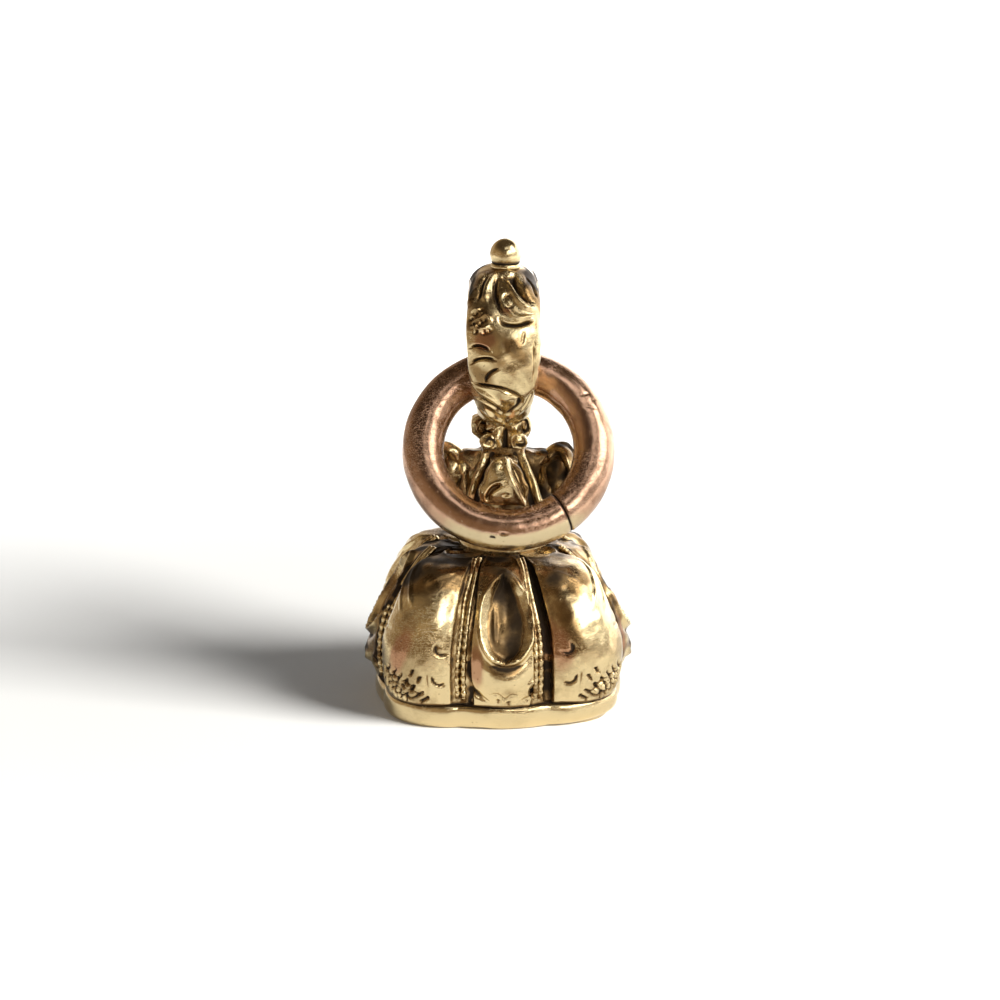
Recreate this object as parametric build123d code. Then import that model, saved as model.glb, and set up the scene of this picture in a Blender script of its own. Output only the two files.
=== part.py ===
from build123d import *
from math import cos, radians, sin, sqrt
import os

# A gold cased watch fob seal: a lobed cast body on a foot rim that holds a seal stone, a leafy stem,
# a looped bow with a ball finial, and a jump ring linked through the bow.
# All sizes are millimetres. Z is up, the stone's face is at Z zero, and the front lobe faces -Y.

# Lobed body
body_half_width = 7.08
corner_stand = 1.02
dome_height = 7.5
groove_depth = 1.12
groove_angle = 21.2
rib_radius = 0.24
rib_stand = 0.06
neck_dip_depth = 0.42
neck_dip_radius = 2.45

# Tear shaped hollow in each face lobe
pocket_half_width = 1.18
pocket_length_share = 0.94
pocket_depth = 0.72
pocket_top_inset = 2.53
pocket_top_share = 0.913
pocket_foot_inset = 0.08
pocket_foot_share = 0.333
pocket_shoulder_place_share = 0.4
pocket_shoulder_width_share = 0.7
pocket_tip_slope = 0.5
pocket_lip_width = 0.2
pocket_lip_stand = 0.14
nub_radius = 0.42
nub_length = 1.3
nub_inset = 0.24
nub_rise = 1.1

# Foot rim, stone and what lies behind it
rim_height = 1.25
rim_setback = 0.42
rim_corner_setback = 0.68
rim_wave_depth = 0.22
rim_edge_round = 0.2
stone_margin = 1.21
stone_corner_radius = 1.9
stone_bevel = 0.45
cavity_ledge = 0.35
cavity_foot_corner_radius = 1.6
cavity_top_width = 5.4
roof_thickness = 2.18
cavity_top_corner_radius = 1.0

# Peg that holds the handle to the body
peg_radius = 0.6
peg_top_rise = 3.12
washer_radius = 1.7
washer_thickness = 0.3
rivet_head_radius = 1.1
rivet_head_height = 0.55
rivet_face_share = 0.6

# Handle as a whole: how far its axis stands off the body's, and its turn against the body
handle_offset = 0.3
handle_turn = -3.0

# Neck collar, stem and the four sided calyx round the stem
collar_radius = 2.3
collar_height = 1.15
collar_seat_share = 0.86
collar_belly_share = 0.36
collar_lip_share = 0.84
collar_lip_height_share = 0.7
collar_top_share = 0.8
stem_foot_radius = 1.3
stem_waist_radius = 1.1
stem_top_rise = 0.5
calyx_half_width = 2.1
calyx_height = 4.45
volute_radius = 0.43
volute_length = 0.85
volute_stand = 1.45
volute_rise = 0.37
volute_reach = 0.82
waist_scroll_radius = 0.6
waist_scroll_width = 1.3
waist_scroll_rise = 1.02
waist_scroll_reach = 1.12

# Scrolled leaves round the stem
leaf_root_share = 0.117
leaf_top_share = 0.915
leaf_root_reach = 2.05
leaf_curl_reach = 3.52
leaf_half_width = 1.32
leaf_half_thickness = 0.42
leaf_section_count = 14
leaf_web_half_width = 0.72
leaf_web_foot_share = 0.5
leaf_web_top_share = 1.02
leaf_web_reach_share = 0.25

# Bow with its two limbs
bow_foot_rise = 1.07
bow_middle_radius = 3.4
bow_half_width = 1.97
bow_half_thickness = 0.9
carving_radius = 0.24
carving_end_dip = 0.3

# Ball finial
finial_radius = 0.83
finial_side_offset = 0.1
finial_front_offset = 0.55
finial_centre_rise = 0.62
finial_seat_radius = 0.74
finial_seat_rise = 0.16
finial_flare_share = 0.25

# Jump ring
ring_middle_radius = 4.5
ring_wire_radius = 1.095
ring_lean = 33.5
ring_rest_gap = 0.05
ring_rest_share = 0.76
ring_side_offset = 0.25
ring_seam_gap = 0.07
ring_seam_angle = -52.0
ring_seam_slant = -8.0

# Clearances, and the overrun and edge rounding that cuts and scrolls share
fit_gap = 0.02
ring_seat_gap = 0.04
overrun = 1.0
scroll_round_share = 0.35

# Levels of the lobed body, as shares of its height, reaches and groove depth
level_shares = (0, 0.09, 0.22, 0.38, 0.52, 0.64, 0.77, 0.89, 0.965, 1)
face_lobe_shares = (0.935, 0.968, 0.995, 0.983, 0.936, 0.862, 0.765, 0.66, 0.55, 0.45)
corner_lobe_shares = (0.915, 0.96, 0.99, 0.985, 0.945, 0.89, 0.815, 0.72, 0.59, 0.465)
groove_depth_shares = (0.45, 0.85, 1, 1, 1, 1, 0.95, 0.85, 0.67, 0.5)
groove_flush_share = 1.036

# Levels of the rounded foot rim, as shares of its height, with the share of the edge round drawn in there
rim_level_shares = (0, 0.16, 0.4, 0.72, 1)
rim_draw_shares = (1, 0.3, 0, 0.1, 0.55)

# Angles along a bow limb from its crown to its foot, with the shares of its width and thickness there
limb_angles = (90, 62, 34, 6, -22, -50, -72, -90)
limb_width_shares = (0.8, 0.94, 1, 0.98, 0.91, 0.77, 0.7, 0.68)
limb_thickness_shares = (1.06, 1, 1, 1, 1, 1, 1, 1)

# Main carving of a limb's outer side: lines of points, each a share of the bow's half width and a share of the
# limb's length from its crown. Raised lines stand on the limb and cut lines are grooves.
raised_lines = (
    ((-0.12, 0.1), (-0.32, 0.148), (-0.46, 0.204), (-0.48, 0.245), (-0.38, 0.285)),
    ((0.13, 0.16), (0.24, 0.22), (0.42, 0.267), (0.66, 0.292)),
    ((-0.7, 0.635), (-0.45, 0.652), (-0.2, 0.684), (0.0, 0.725)),
    ((-0.42, 0.75), (-0.22, 0.795), (0.02, 0.85)),
    ((0.42, 0.75), (0.26, 0.79), (0.12, 0.825)),
)
cut_lines = (
    ((-0.1, 0.11), (-0.22, 0.15), (-0.25, 0.2), (-0.22, 0.24), (-0.1, 0.3)),
    ((-0.2, 0.325), (0.05, 0.36), (0.32, 0.367), (0.6, 0.352)),
    ((-0.75, 0.613), (-0.5, 0.61), (-0.15, 0.614), (0.12, 0.63), (0.36, 0.66)),
    ((-0.68, 0.7), (-0.5, 0.69), (-0.3, 0.705), (-0.14, 0.735)),
)

# Curl of a leaf in its own upright plane: shares of the way from root to curl reach, and from root to top height
leaf_reach_shares = (0, 0.12, 0.26, 0.5, 0.8, 1, 0.98)
leaf_height_shares = (0, 0.42, 0.76, 0.98, 0.96, 0.7, 0.42)
leaf_width_shares = (0.8, 0.86, 0.74, 0.5, 0.74, 1, 0.8)
leaf_thickness_shares = (1.3, 1.6, 1.6, 1.05, 0.95, 0.9, 0.6)

# Stem outline: shares of its height, with how far the radius has gone from waist to foot there
stem_height_shares = (0, 0.25, 0.5, 0.8, 1)
stem_swell_shares = (1, 0.7, 0.35, 0, 0.4)

# Calyx levels as shares of its height, with the half width and the corner rounding as shares of its half width
calyx_level_shares = (0, 0.14, 0.36, 0.62, 0.84, 1)
calyx_width_shares = (0.86, 0.97, 1, 0.82, 0.64, 0.58)
calyx_round_shares = (0.8, 0.5, 0.28, 0.24, 0.34, 0.52)

corner_reach = body_half_width + corner_stand
body_base = rim_height
body_top = body_base + dome_height
neck_floor = body_top - neck_dip_depth
collar_top = neck_floor + collar_height
rim_half_width = body_half_width - rim_setback
rim_corner_reach = corner_reach - rim_corner_setback
stone_width = 2 * (rim_half_width - stone_margin)
stone_thickness = rim_height - fit_gap
cavity_foot_width = stone_width - 2 * cavity_ledge
cavity_top_height = neck_floor - roof_thickness
pocket_top_reach = body_half_width - pocket_top_inset
pocket_top_height = body_base + pocket_top_share * dome_height
pocket_foot_reach = body_half_width - pocket_foot_inset
pocket_foot_height = body_base + pocket_foot_share * dome_height
peg_top_height = collar_top + peg_top_rise
calyx_top = collar_top + calyx_height
leaf_root_height = collar_top + leaf_root_share * calyx_height
leaf_top_height = collar_top + leaf_top_share * calyx_height
bow_inner_radius = bow_middle_radius - bow_half_thickness
bow_outer_radius = bow_middle_radius + bow_half_thickness
bow_foot_height = calyx_top + bow_foot_rise
bow_centre_height = bow_foot_height + bow_outer_radius
bow_crown_height = bow_centre_height + bow_outer_radius
stem_top = bow_foot_height + stem_top_rise
limb_ways = [(limb_angles[0] - angle) / (limb_angles[0] - limb_angles[-1]) for angle in limb_angles]
ring_pivot_height = bow_centre_height - bow_inner_radius + ring_wire_radius + ring_seat_gap


def round_the_axis(reach, angle, height):
    """The point at a reach and a compass angle in degrees round the Z axis."""
    return Vector(reach * cos(radians(angle)), reach * sin(radians(angle)), height)


def lobed_face(height, face_reach, corner, groove_reach):
    """A level outline of eight arcs, four face lobes and four corner lobes, that meet in grooves."""
    edges = []
    for quarter in range(4):
        middle = 90 * quarter
        before = round_the_axis(groove_reach, middle - groove_angle, height)
        after = round_the_axis(groove_reach, middle + groove_angle, height)
        following = round_the_axis(groove_reach, middle + 90 - groove_angle, height)
        edges.append(ThreePointArc(before, round_the_axis(face_reach, middle, height), after))
        edges.append(ThreePointArc(after, round_the_axis(corner, middle + 45, height), following))
    return Face(Wire(edges))


def groove_reach_at(level):
    """How far the groove lies from the axis at one of the body's levels."""
    flush = groove_flush_share * face_lobe_shares[level] * body_half_width
    return flush - groove_depth_shares[level] * groove_depth


def level_height(level):
    """The height of one of the body's levels."""
    return body_base + level_shares[level] * dome_height


def rounded_square(width, corner_radius, height):
    """A level face, square with round corners."""
    return Plane.XY.offset(height) * RectangleRounded(width, width, corner_radius)


def cavity_solid(low, high, gap):
    """The hollow inside the body from one height to another, drawn in all round by a gap."""
    faces = []
    for height in (low, high):
        rise = (height - body_base) / (cavity_top_height - body_base)
        width = cavity_foot_width + rise * (cavity_top_width - cavity_foot_width)
        corner = cavity_foot_corner_radius + rise * (cavity_top_corner_radius - cavity_foot_corner_radius)
        faces.append(rounded_square(width - 2 * gap, corner - gap, height))
    return loft(faces, ruled=True)


def pocket_cutter(grow):
    """The tear shaped tool that hollows the lobe facing +X, turned about a line along that lobe's crest."""
    top = Vector(pocket_top_reach, 0, pocket_top_height)
    foot = Vector(pocket_foot_reach, 0, pocket_foot_height)
    along = (foot - top).normalized()
    outward = Vector(-along.Z, 0, along.X)
    length = pocket_length_share * (foot - top).length + 2 * grow
    half_width = pocket_half_width + grow
    lift = pocket_half_width - pocket_depth
    start = top + outward * lift - along * grow
    side = Plane(origin=start, x_dir=along, z_dir=Vector(0, 1, 0))
    widest = length - half_width
    shoulder = (pocket_shoulder_place_share * widest, pocket_shoulder_width_share * half_width)
    outline = [
        Spline((0, 0), shoulder, (widest, half_width), tangents=((1, pocket_tip_slope), (1, 0))),
        RadiusArc((widest, half_width), (length, 0), half_width),
        Line((length, 0), (0, 0)),
    ]
    profile = side * make_face(outline)
    return revolve(profile, axis=Axis(start, along))


def peg_bore(low, high):
    """The hole that the peg passes through, with its fit gap."""
    bore = Cylinder(peg_radius + fit_gap, high - low, align=(Align.CENTER, Align.CENTER, Align.MIN))
    return Pos(0, 0, low) * bore


def plain_dome(stand):
    """The lobed body before it is hollowed, its lobes grown by a stand."""
    sections = []
    for level in range(len(level_shares)):
        face_reach = face_lobe_shares[level] * body_half_width + stand
        corner = corner_lobe_shares[level] * corner_reach + stand
        sections.append(lobed_face(level_height(level), face_reach, corner, groove_reach_at(level)))
    return loft(sections)


def foot_nub(side):
    """The small scroll that stands out low on one side lobe."""
    nub = Rot(90, 0, 0) * Cylinder(nub_radius, nub_length)
    nub = fillet(nub.edges().filter_by(GeomType.CIRCLE), scroll_round_share * nub_radius)
    return Pos(side * (body_half_width - nub_inset), 0, body_base + nub_rise) * nub


def pocket_lip():
    """The raised lip round the hollow of the lobe facing +X, before the hollow itself is cut."""
    return plain_dome(pocket_lip_stand) & pocket_cutter(pocket_lip_width)


def make_dome_shell(dome):
    """The cast body: lobes outside, cavity below, peg hole and a dip for the collar on top."""
    dip = Cylinder(neck_dip_radius, neck_dip_depth + overrun, align=(Align.CENTER, Align.CENTER, Align.MIN))
    shell = dome + foot_nub(1) + foot_nub(-1) - Pos(handle_offset, 0, neck_floor) * dip
    shell -= cavity_solid(body_base - overrun, cavity_top_height, 0)
    shell -= Pos(handle_offset, 0, 0) * peg_bore(body_base, body_top + overrun)
    cutter = pocket_cutter(0)
    lip = pocket_lip()
    for quarter in range(4):
        shell += Rot(0, 0, 90 * quarter) * lip
        shell -= Rot(0, 0, 90 * quarter) * cutter
    return shell


def make_groove_ribs(dome):
    """Eight thin wires, one lying in each groove, fitted to the groove's walls."""
    path = []
    for level in range(len(level_shares)):
        path.append(round_the_axis(groove_reach_at(level) + rib_stand, groove_angle, level_height(level)))
    spine = Spline(path)
    start = Plane(origin=spine @ 0, z_dir=spine % 0)
    wire = sweep(start * Circle(rib_radius), path=spine)
    below = Cylinder(corner_reach, overrun, align=(Align.CENTER, Align.CENTER, Align.MAX))
    fitted = wire - dome - Pos(0, 0, body_base) * below
    kept = fitted.solids().sort_by(SortBy.VOLUME)[-1]
    other = kept.mirror(Plane.XZ)
    ribs = []
    for quarter in range(4):
        ribs.append(Rot(0, 0, 90 * quarter) * kept)
        ribs.append(Rot(0, 0, 90 * quarter) * other)
    return Compound(children=ribs)


def stone_solid(gap):
    """The seal stone with its bevelled foot, grown all round by a gap."""
    width = stone_width + 2 * gap
    block = extrude(rounded_square(width, stone_corner_radius + gap, 0), amount=stone_thickness)
    foot_edges = block.faces().sort_by(Axis.Z)[0].edges()
    return chamfer(foot_edges, stone_bevel)


def make_foot_rim():
    """The wavy band round the foot, with the seat whose lip holds the stone by its bevel."""
    sections = []
    for share, draw_share in zip(rim_level_shares, rim_draw_shares):
        draw = draw_share * rim_edge_round
        face_reach = rim_half_width - draw
        groove_reach = groove_flush_share * face_reach - rim_wave_depth
        sections.append(lobed_face(share * rim_height, face_reach, rim_corner_reach - draw, groove_reach))
    band = loft(sections)
    return band - stone_solid(fit_gap)


def make_cement_bed():
    """The shellac cement that fills the cavity between the stone and the riveted peg."""
    bed = cavity_solid(body_base, cavity_top_height - fit_gap, fit_gap)
    room_depth = washer_thickness + 2 * fit_gap
    head_room = Cylinder(washer_radius + fit_gap, room_depth, align=(Align.CENTER, Align.CENTER, Align.MAX))
    bed -= Pos(handle_offset, 0, cavity_top_height) * head_room
    bed -= Pos(handle_offset, 0, 0) * rivet_head(fit_gap)
    return bed


def rivet_head(gap):
    """The rivet head below the washer, grown by a gap."""
    top = cavity_top_height - washer_thickness - fit_gap
    base = rivet_head_radius + gap
    rise = rivet_head_height + gap
    head = Cone(rivet_face_share * base, base, rise, align=(Align.CENTER, Align.CENTER, Align.MAX))
    return Pos(0, 0, top) * head


def make_handle_peg():
    """The peg from the stem down through the body, with its riveted head."""
    low = cavity_top_height - washer_thickness - fit_gap
    shaft = Cylinder(peg_radius, peg_top_height - low, align=(Align.CENTER, Align.CENTER, Align.MIN))
    return Pos(0, 0, low) * shaft + rivet_head(0)


def make_peg_washer():
    """The washer between the rivet head and the roof of the cavity."""
    disc = Cylinder(washer_radius, washer_thickness, align=(Align.CENTER, Align.CENTER, Align.MAX))
    return Pos(0, 0, cavity_top_height - fit_gap) * disc - peg_bore(body_base, body_top)


def make_neck_collar():
    """The turned collar between the body and the stem."""
    seat = (collar_seat_share * collar_radius, neck_floor)
    belly = (collar_radius, neck_floor + collar_belly_share * collar_height)
    lip = (collar_lip_share * collar_radius, neck_floor + collar_lip_height_share * collar_height)
    crest = (collar_top_share * collar_radius, collar_top)
    profile = make_face([
        Line((0, neck_floor), seat),
        ThreePointArc(seat, belly, lip),
        Line(lip, crest),
        Line(crest, (0, collar_top)),
        Line((0, collar_top), (0, neck_floor)),
    ])
    return revolve(Plane.XZ * profile, axis=Axis.Z) - peg_bore(neck_floor - overrun, collar_top + overrun)


def make_limb():
    """The front limb of the bow: half a ring of oval section, widest in the middle."""
    sections = []
    for angle, width_share, thickness_share in zip(limb_angles, limb_width_shares, limb_thickness_shares):
        turn = radians(angle)
        middle = Vector(0, -bow_middle_radius * cos(turn), bow_centre_height + bow_middle_radius * sin(turn))
        plane = Plane(origin=middle, x_dir=Vector(1, 0, 0), z_dir=Vector(0, -sin(turn), -cos(turn)))
        sections.append(plane * Ellipse(width_share * bow_half_width, thickness_share * bow_half_thickness))
    return loft(sections)


def on_limb(side_share, way_share, lift):
    """The point lifted off the front limb's outer side, at a share of its half width and of its length."""
    angle = 90 - 180 * way_share
    side = side_share * bow_half_width
    half_width = bow_half_width * share_at(way_share, limb_ways, limb_width_shares)
    reach = bow_middle_radius + bow_half_thickness * sqrt(1 - (side / half_width) ** 2) + lift
    return Vector(side, -reach * cos(radians(angle)), bow_centre_height + reach * sin(radians(angle)))


def carving_tool(line, end_lift):
    """A round bar along a line of the carving, its ends lifted off the limb or sunk into it."""
    points = [on_limb(side, way, 0) for side, way in line]
    points[0] = on_limb(line[0][0], line[0][1], end_lift)
    points[-1] = on_limb(line[-1][0], line[-1][1], end_lift)
    spine = Spline(points)
    return sweep(Plane(origin=spine @ 0, z_dir=spine % 0) * Circle(carving_radius), path=spine)


def carved(limb):
    """A limb with the main lines of its carving raised on it and cut into it."""
    for line in cut_lines:
        limb -= carving_tool(line, carving_end_dip)
    for line in raised_lines:
        limb += carving_tool(line, -carving_end_dip)
    return limb.solids().sort_by(SortBy.VOLUME)[-1]


def plain_stem():
    """The stem as turned, before the saddle for the bow and the peg hole are cut."""
    height = stem_top - collar_top
    edge = []
    for share, swell_share in zip(stem_height_shares, stem_swell_shares):
        radius = stem_waist_radius + swell_share * (stem_foot_radius - stem_waist_radius)
        edge.append((radius, collar_top + share * height))
    profile = make_face([
        Line((0, collar_top), edge[0]),
        Spline(*edge),
        Line(edge[-1], (0, stem_top)),
        Line((0, stem_top), (0, collar_top)),
    ])
    return revolve(Plane.XZ * profile, axis=Axis.Z)


def share_at(place, places, shares):
    """The share at a place between the listed ones, read off by straight lines."""
    for low, high in zip(range(len(places)), range(1, len(places))):
        if place <= places[high] or high == len(places) - 1:
            part_way = (place - places[low]) / (places[high] - places[low])
            return shares[low] + part_way * (shares[high] - shares[low])


def leaf_points(curl_reach):
    """The points along the curl of a leaf that reaches out towards -Y."""
    points = []
    for reach_share, height_share in zip(leaf_reach_shares, leaf_height_shares):
        reach = leaf_root_reach + reach_share * (curl_reach - leaf_root_reach)
        height = leaf_root_height + height_share * (leaf_top_height - leaf_root_height)
        points.append(Vector(0, -reach, height))
    return points


def front_leaf_points():
    """The points along the front leaf, whose tip the ring's wire rests against."""
    apart = ring_wire_radius + ring_rest_gap + leaf_thickness_shares[-1] * leaf_half_thickness
    above = ring_rest_share * apart
    wire_reach = 2 * ring_middle_radius * sin(radians(ring_lean))
    wire_height = ring_pivot_height - 2 * ring_middle_radius * cos(radians(ring_lean))
    tip_reach = wire_reach - sqrt(apart ** 2 - above ** 2)
    curl_reach = leaf_root_reach + (tip_reach - leaf_root_reach) / leaf_reach_shares[-1]
    return leaf_points(curl_reach)[:-1] + [Vector(0, -tip_reach, wire_height + above)]


def make_leaf(points):
    """A leaf along the points of its curl towards -Y: an oval ribbon in the YZ plane."""
    spine = Spline(points)
    places = [0] + [spine.param_at_point(point) for point in points[1:-1]] + [1]
    sections = []
    for step in range(leaf_section_count):
        place = step / (leaf_section_count - 1)
        half_width = leaf_half_width * share_at(place, places, leaf_width_shares)
        half_thickness = leaf_half_thickness * share_at(place, places, leaf_thickness_shares)
        plane = Plane(origin=spine @ place, x_dir=Vector(1, 0, 0), z_dir=spine % place)
        sections.append(plane * Ellipse(half_width, half_thickness))
    return loft(sections)


def leaf_web():
    """The web that fills the way from the stem to the curl of a leaf, an upright plate in the leaf's plane."""
    rise = leaf_top_height - leaf_root_height
    foot = leaf_root_height + leaf_web_foot_share * rise
    top = leaf_root_height + leaf_web_top_share * rise
    reach = leaf_root_reach + leaf_web_reach_share * (leaf_curl_reach - leaf_root_reach)
    outline = Polyline((0, foot), (-reach, foot), (-reach, leaf_top_height), (0, top), close=True)
    return extrude(Plane.YZ * make_face(outline), amount=leaf_web_half_width, both=True)


def plain_calyx():
    """The four sided flared cup round the stem, its corners between the leaves."""
    sections = []
    for level, width_share, round_share in zip(calyx_level_shares, calyx_width_shares, calyx_round_shares):
        width = 2 * width_share * calyx_half_width
        sections.append(rounded_square(width, round_share * calyx_half_width, collar_top + level * calyx_height))
    return loft(sections)


def make_volute(side, front):
    """The small roll on one side of the waist, whose end shows as a volute at the front or the back."""
    roll = Rot(90, 0, 0) * Cylinder(volute_radius, volute_length)
    roll = fillet(roll.edges().filter_by(GeomType.CIRCLE), scroll_round_share * volute_radius)
    stand = volute_stand - volute_length / 2
    return Pos(side * volute_reach, -front * stand, calyx_top + volute_rise) * roll


def make_waist_scroll(side):
    """The small scroll on one side of the waist, a dished disc on an axis along Y."""
    disc = Rot(90, 0, 0) * Cylinder(waist_scroll_radius, waist_scroll_width)
    disc = fillet(disc.edges().filter_by(GeomType.CIRCLE), scroll_round_share * waist_scroll_radius)
    return Pos(side * waist_scroll_reach, 0, calyx_top + waist_scroll_rise) * disc


def finial_seat_height():
    """The height of the flat on which the ball sits."""
    return bow_crown_height + finial_seat_rise


def make_ball_finial():
    """The ball, with the flat that stands on its seat."""
    centre_height = bow_crown_height + finial_centre_rise
    ball = Pos(finial_side_offset, -finial_front_offset, centre_height) * Sphere(finial_radius)
    below = Cylinder(finial_radius + overrun, finial_radius + overrun, align=(Align.CENTER, Align.CENTER, Align.MAX))
    return ball - Pos(finial_side_offset, -finial_front_offset, finial_seat_height()) * below


def make_finial_seat(limbs):
    """The small flared seat between the crown of the bow and the ball."""
    depth = bow_half_thickness + finial_seat_rise
    foot_radius = finial_seat_radius + finial_flare_share * depth
    seat = Cone(foot_radius, finial_seat_radius, depth, align=(Align.CENTER, Align.CENTER, Align.MAX))
    seat = Pos(finial_side_offset, -finial_front_offset, finial_seat_height()) * seat
    for limb in limbs:
        seat -= limb
    return seat.solids().sort_by(Axis.Z)[-1]


def make_jump_ring():
    """The round wire ring, leaning forward from the foot of the bow's opening, with its cut seam."""
    ring = Torus(ring_middle_radius, ring_wire_radius)
    reach = 2 * (ring_wire_radius + overrun)
    slit = Box(reach, ring_seam_gap, reach)
    slit = Rot(0, 0, ring_seam_angle) * Pos(ring_middle_radius, 0, 0) * Rot(0, 0, ring_seam_slant) * slit
    upright = Rot(90, 0, 0) * (ring - slit)
    hung = Pos(0, 0, -ring_middle_radius) * upright
    leaning = Rot(-ring_lean, 0, 0) * hung
    return Pos(ring_side_offset, 0, ring_pivot_height) * leaning


def without(part, *others):
    """A part with others cut from it, as its largest solid."""
    for other in others:
        part -= other
    return part.solids().sort_by(SortBy.VOLUME)[-1]


def build_body():
    """The sub-parts of the body by the names of their nodes."""
    dome = plain_dome(0)
    return {
        "dome_shell": make_dome_shell(dome),
        "groove_ribs": make_groove_ribs(dome),
        "foot_rim": make_foot_rim(),
        "seal_stone": stone_solid(0),
        "cement_bed": make_cement_bed(),
    }


def build_handle():
    """The sub-parts of the handle, the peg and the ring by the names of their nodes, about the handle's own axis."""
    front_limb = carved(make_limb())
    back_limb = Rot(0, 0, 180) * front_limb
    limbs = (front_limb, back_limb)
    stem = without(plain_stem(), *limbs, peg_bore(collar_top - overrun, peg_top_height + fit_gap))
    calyx = without(plain_calyx(), plain_stem())
    leaf = without(make_leaf(leaf_points(leaf_curl_reach)) + leaf_web(), calyx, stem)
    parts = {
        "handle_peg": make_handle_peg(),
        "peg_washer": make_peg_washer(),
        "neck_collar": make_neck_collar(),
        "stem": stem,
        "calyx": calyx,
        "bow_front_limb": front_limb,
        "bow_back_limb": back_limb,
        "finial_seat": make_finial_seat(limbs),
        "ball_finial": make_ball_finial(),
        "jump_ring": make_jump_ring(),
        "leaf_front": without(make_leaf(front_leaf_points()) + leaf_web(), calyx, stem),
    }
    for name, turn in (("right", 90), ("back", 180), ("left", 270)):
        parts["leaf_" + name] = Rot(0, 0, turn) * leaf
    for name, side in (("right", 1), ("left", -1)):
        front_volute = without(make_volute(side, 1), stem, calyx, *limbs)
        back_volute = without(make_volute(side, -1), stem, calyx, *limbs)
        parts["volute_front_" + name] = front_volute
        parts["volute_back_" + name] = back_volute
        parts["waist_scroll_" + name] = without(make_waist_scroll(side), stem, front_volute, back_volute, *limbs)
    return parts


def main():
    os.makedirs("parts", exist_ok=True)
    for name, part in build_body().items():
        export_step(part, "parts/" + name + ".step")
    for name, part in build_handle().items():
        export_step(Pos(handle_offset, 0, 0) * Rot(0, 0, handle_turn) * part, "parts/" + name + ".step")


main()
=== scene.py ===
import math
import bpy
import numpy as np
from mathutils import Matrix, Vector


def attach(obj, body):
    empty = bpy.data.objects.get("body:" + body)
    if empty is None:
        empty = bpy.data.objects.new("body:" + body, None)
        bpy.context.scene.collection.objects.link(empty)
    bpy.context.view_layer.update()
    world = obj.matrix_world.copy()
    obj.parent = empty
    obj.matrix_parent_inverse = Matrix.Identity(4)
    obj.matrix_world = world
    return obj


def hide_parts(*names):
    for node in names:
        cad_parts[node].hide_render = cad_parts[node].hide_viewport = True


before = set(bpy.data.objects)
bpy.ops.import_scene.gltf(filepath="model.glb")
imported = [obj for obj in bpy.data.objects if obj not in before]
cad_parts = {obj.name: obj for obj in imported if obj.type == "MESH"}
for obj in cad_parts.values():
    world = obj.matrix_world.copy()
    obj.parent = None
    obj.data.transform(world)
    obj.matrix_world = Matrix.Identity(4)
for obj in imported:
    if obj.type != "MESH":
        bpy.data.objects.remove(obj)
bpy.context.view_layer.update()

# Looks of the fob seal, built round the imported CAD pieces. Shapes are worked out in millimetres and
# turned into metres where each mesh is made. -Y is the front, as in the CAD.

FULL_TURN = 2 * math.pi
QUARTER = math.pi / 2
FAR = 99.0              # a chart place on which nothing is carved

HANDLE_OFFSET = 0.3     # the handle stands this far to the right of the body's middle
HANDLE_TURN = math.radians(-3.0)
BODY_HALF = 7.08        # reach of the face lobes' crests
BODY_CORNER = 8.1       # reach of the corner lobes' crests
BODY_LIMIT = 7.255      # the body is kept within this of the middle, sideways, as in the CAD
GROOVE_ANGLE = math.radians(21.2)
BODY_BASE = 1.25
BODY_TOP = 8.75
BEAD_PITCH = 0.44
SEAT_HALF = 5.47        # the stone's seat: half its side, and the radius of its corners
SEAT_CORNER = 1.92
COLLAR_TOP = 9.48
CALYX_TOP = 13.93
BOW_CENTRE = 19.3
BOW_MIDDLE = 3.4        # reach of the middle of a limb's section from the bow's centre
LIMB_HALF = 0.9         # half of a limb's thickness
BALL_CENTRE = 24.22
BALL_RADIUS = 0.83
BALL_PLACE = (0.1, -0.55)   # the ball stands aside and to the front of the crown's middle
RING_PIVOT = 17.935
RING_SIDE = 0.25        # the ring hangs this far to the right in the bow
RING_MIDDLE = 4.5
RING_WIRE = 1.095
RING_LEAN = math.radians(33.5)
RING_SEAM = math.radians(-52.0)
SEAM_GAP = 0.05
SEAM_SLANT = math.radians(8.0)


# Curves and fields

def lengths(line):
    """The length along a line of points up to each of them."""
    return np.concatenate([[0], np.cumsum(np.linalg.norm(np.diff(line, axis=0), axis=1))])


def curve(points, count, closed=False):
    """Points evenly spaced by length along a Catmull-Rom curve through the given ones, in any number of
    dimensions."""
    P = np.asarray(points, float)
    P = np.vstack([P[-1], P, P[0], P[1]] if closed else [2 * P[0] - P[1], P, 2 * P[-1] - P[-2]])
    t = np.linspace(0, 1, 24, endpoint=False)[:, None]
    fine = []
    for a, b, c, d in zip(P[:-3], P[1:-2], P[2:-1], P[3:]):
        square, cube = 2 * a - 5 * b + 4 * c - d, 3 * b - a - 3 * c + d
        fine.append(0.5 * (2 * b + (c - a) * t + square * t ** 2 + cube * t ** 3))
    F = np.vstack(fine + [P[-2:-1]])
    length = lengths(F)
    at = np.linspace(0, length[-1], count)
    return np.stack([np.interp(at, length, F[:, k]) for k in range(F.shape[1])], axis=1)


def smooth(x, low, high):
    """0 below low, 1 above high, and an even S between."""
    t = np.clip((x - low) / (high - low), 0, 1)
    return t * t * (3 - 2 * t)


def hump(x, middle, half, power=2):
    """1 at the middle and less to both sides: exp(-((x - middle) / half)^power)."""
    return np.exp(-((x - middle) / half) ** power)


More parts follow.
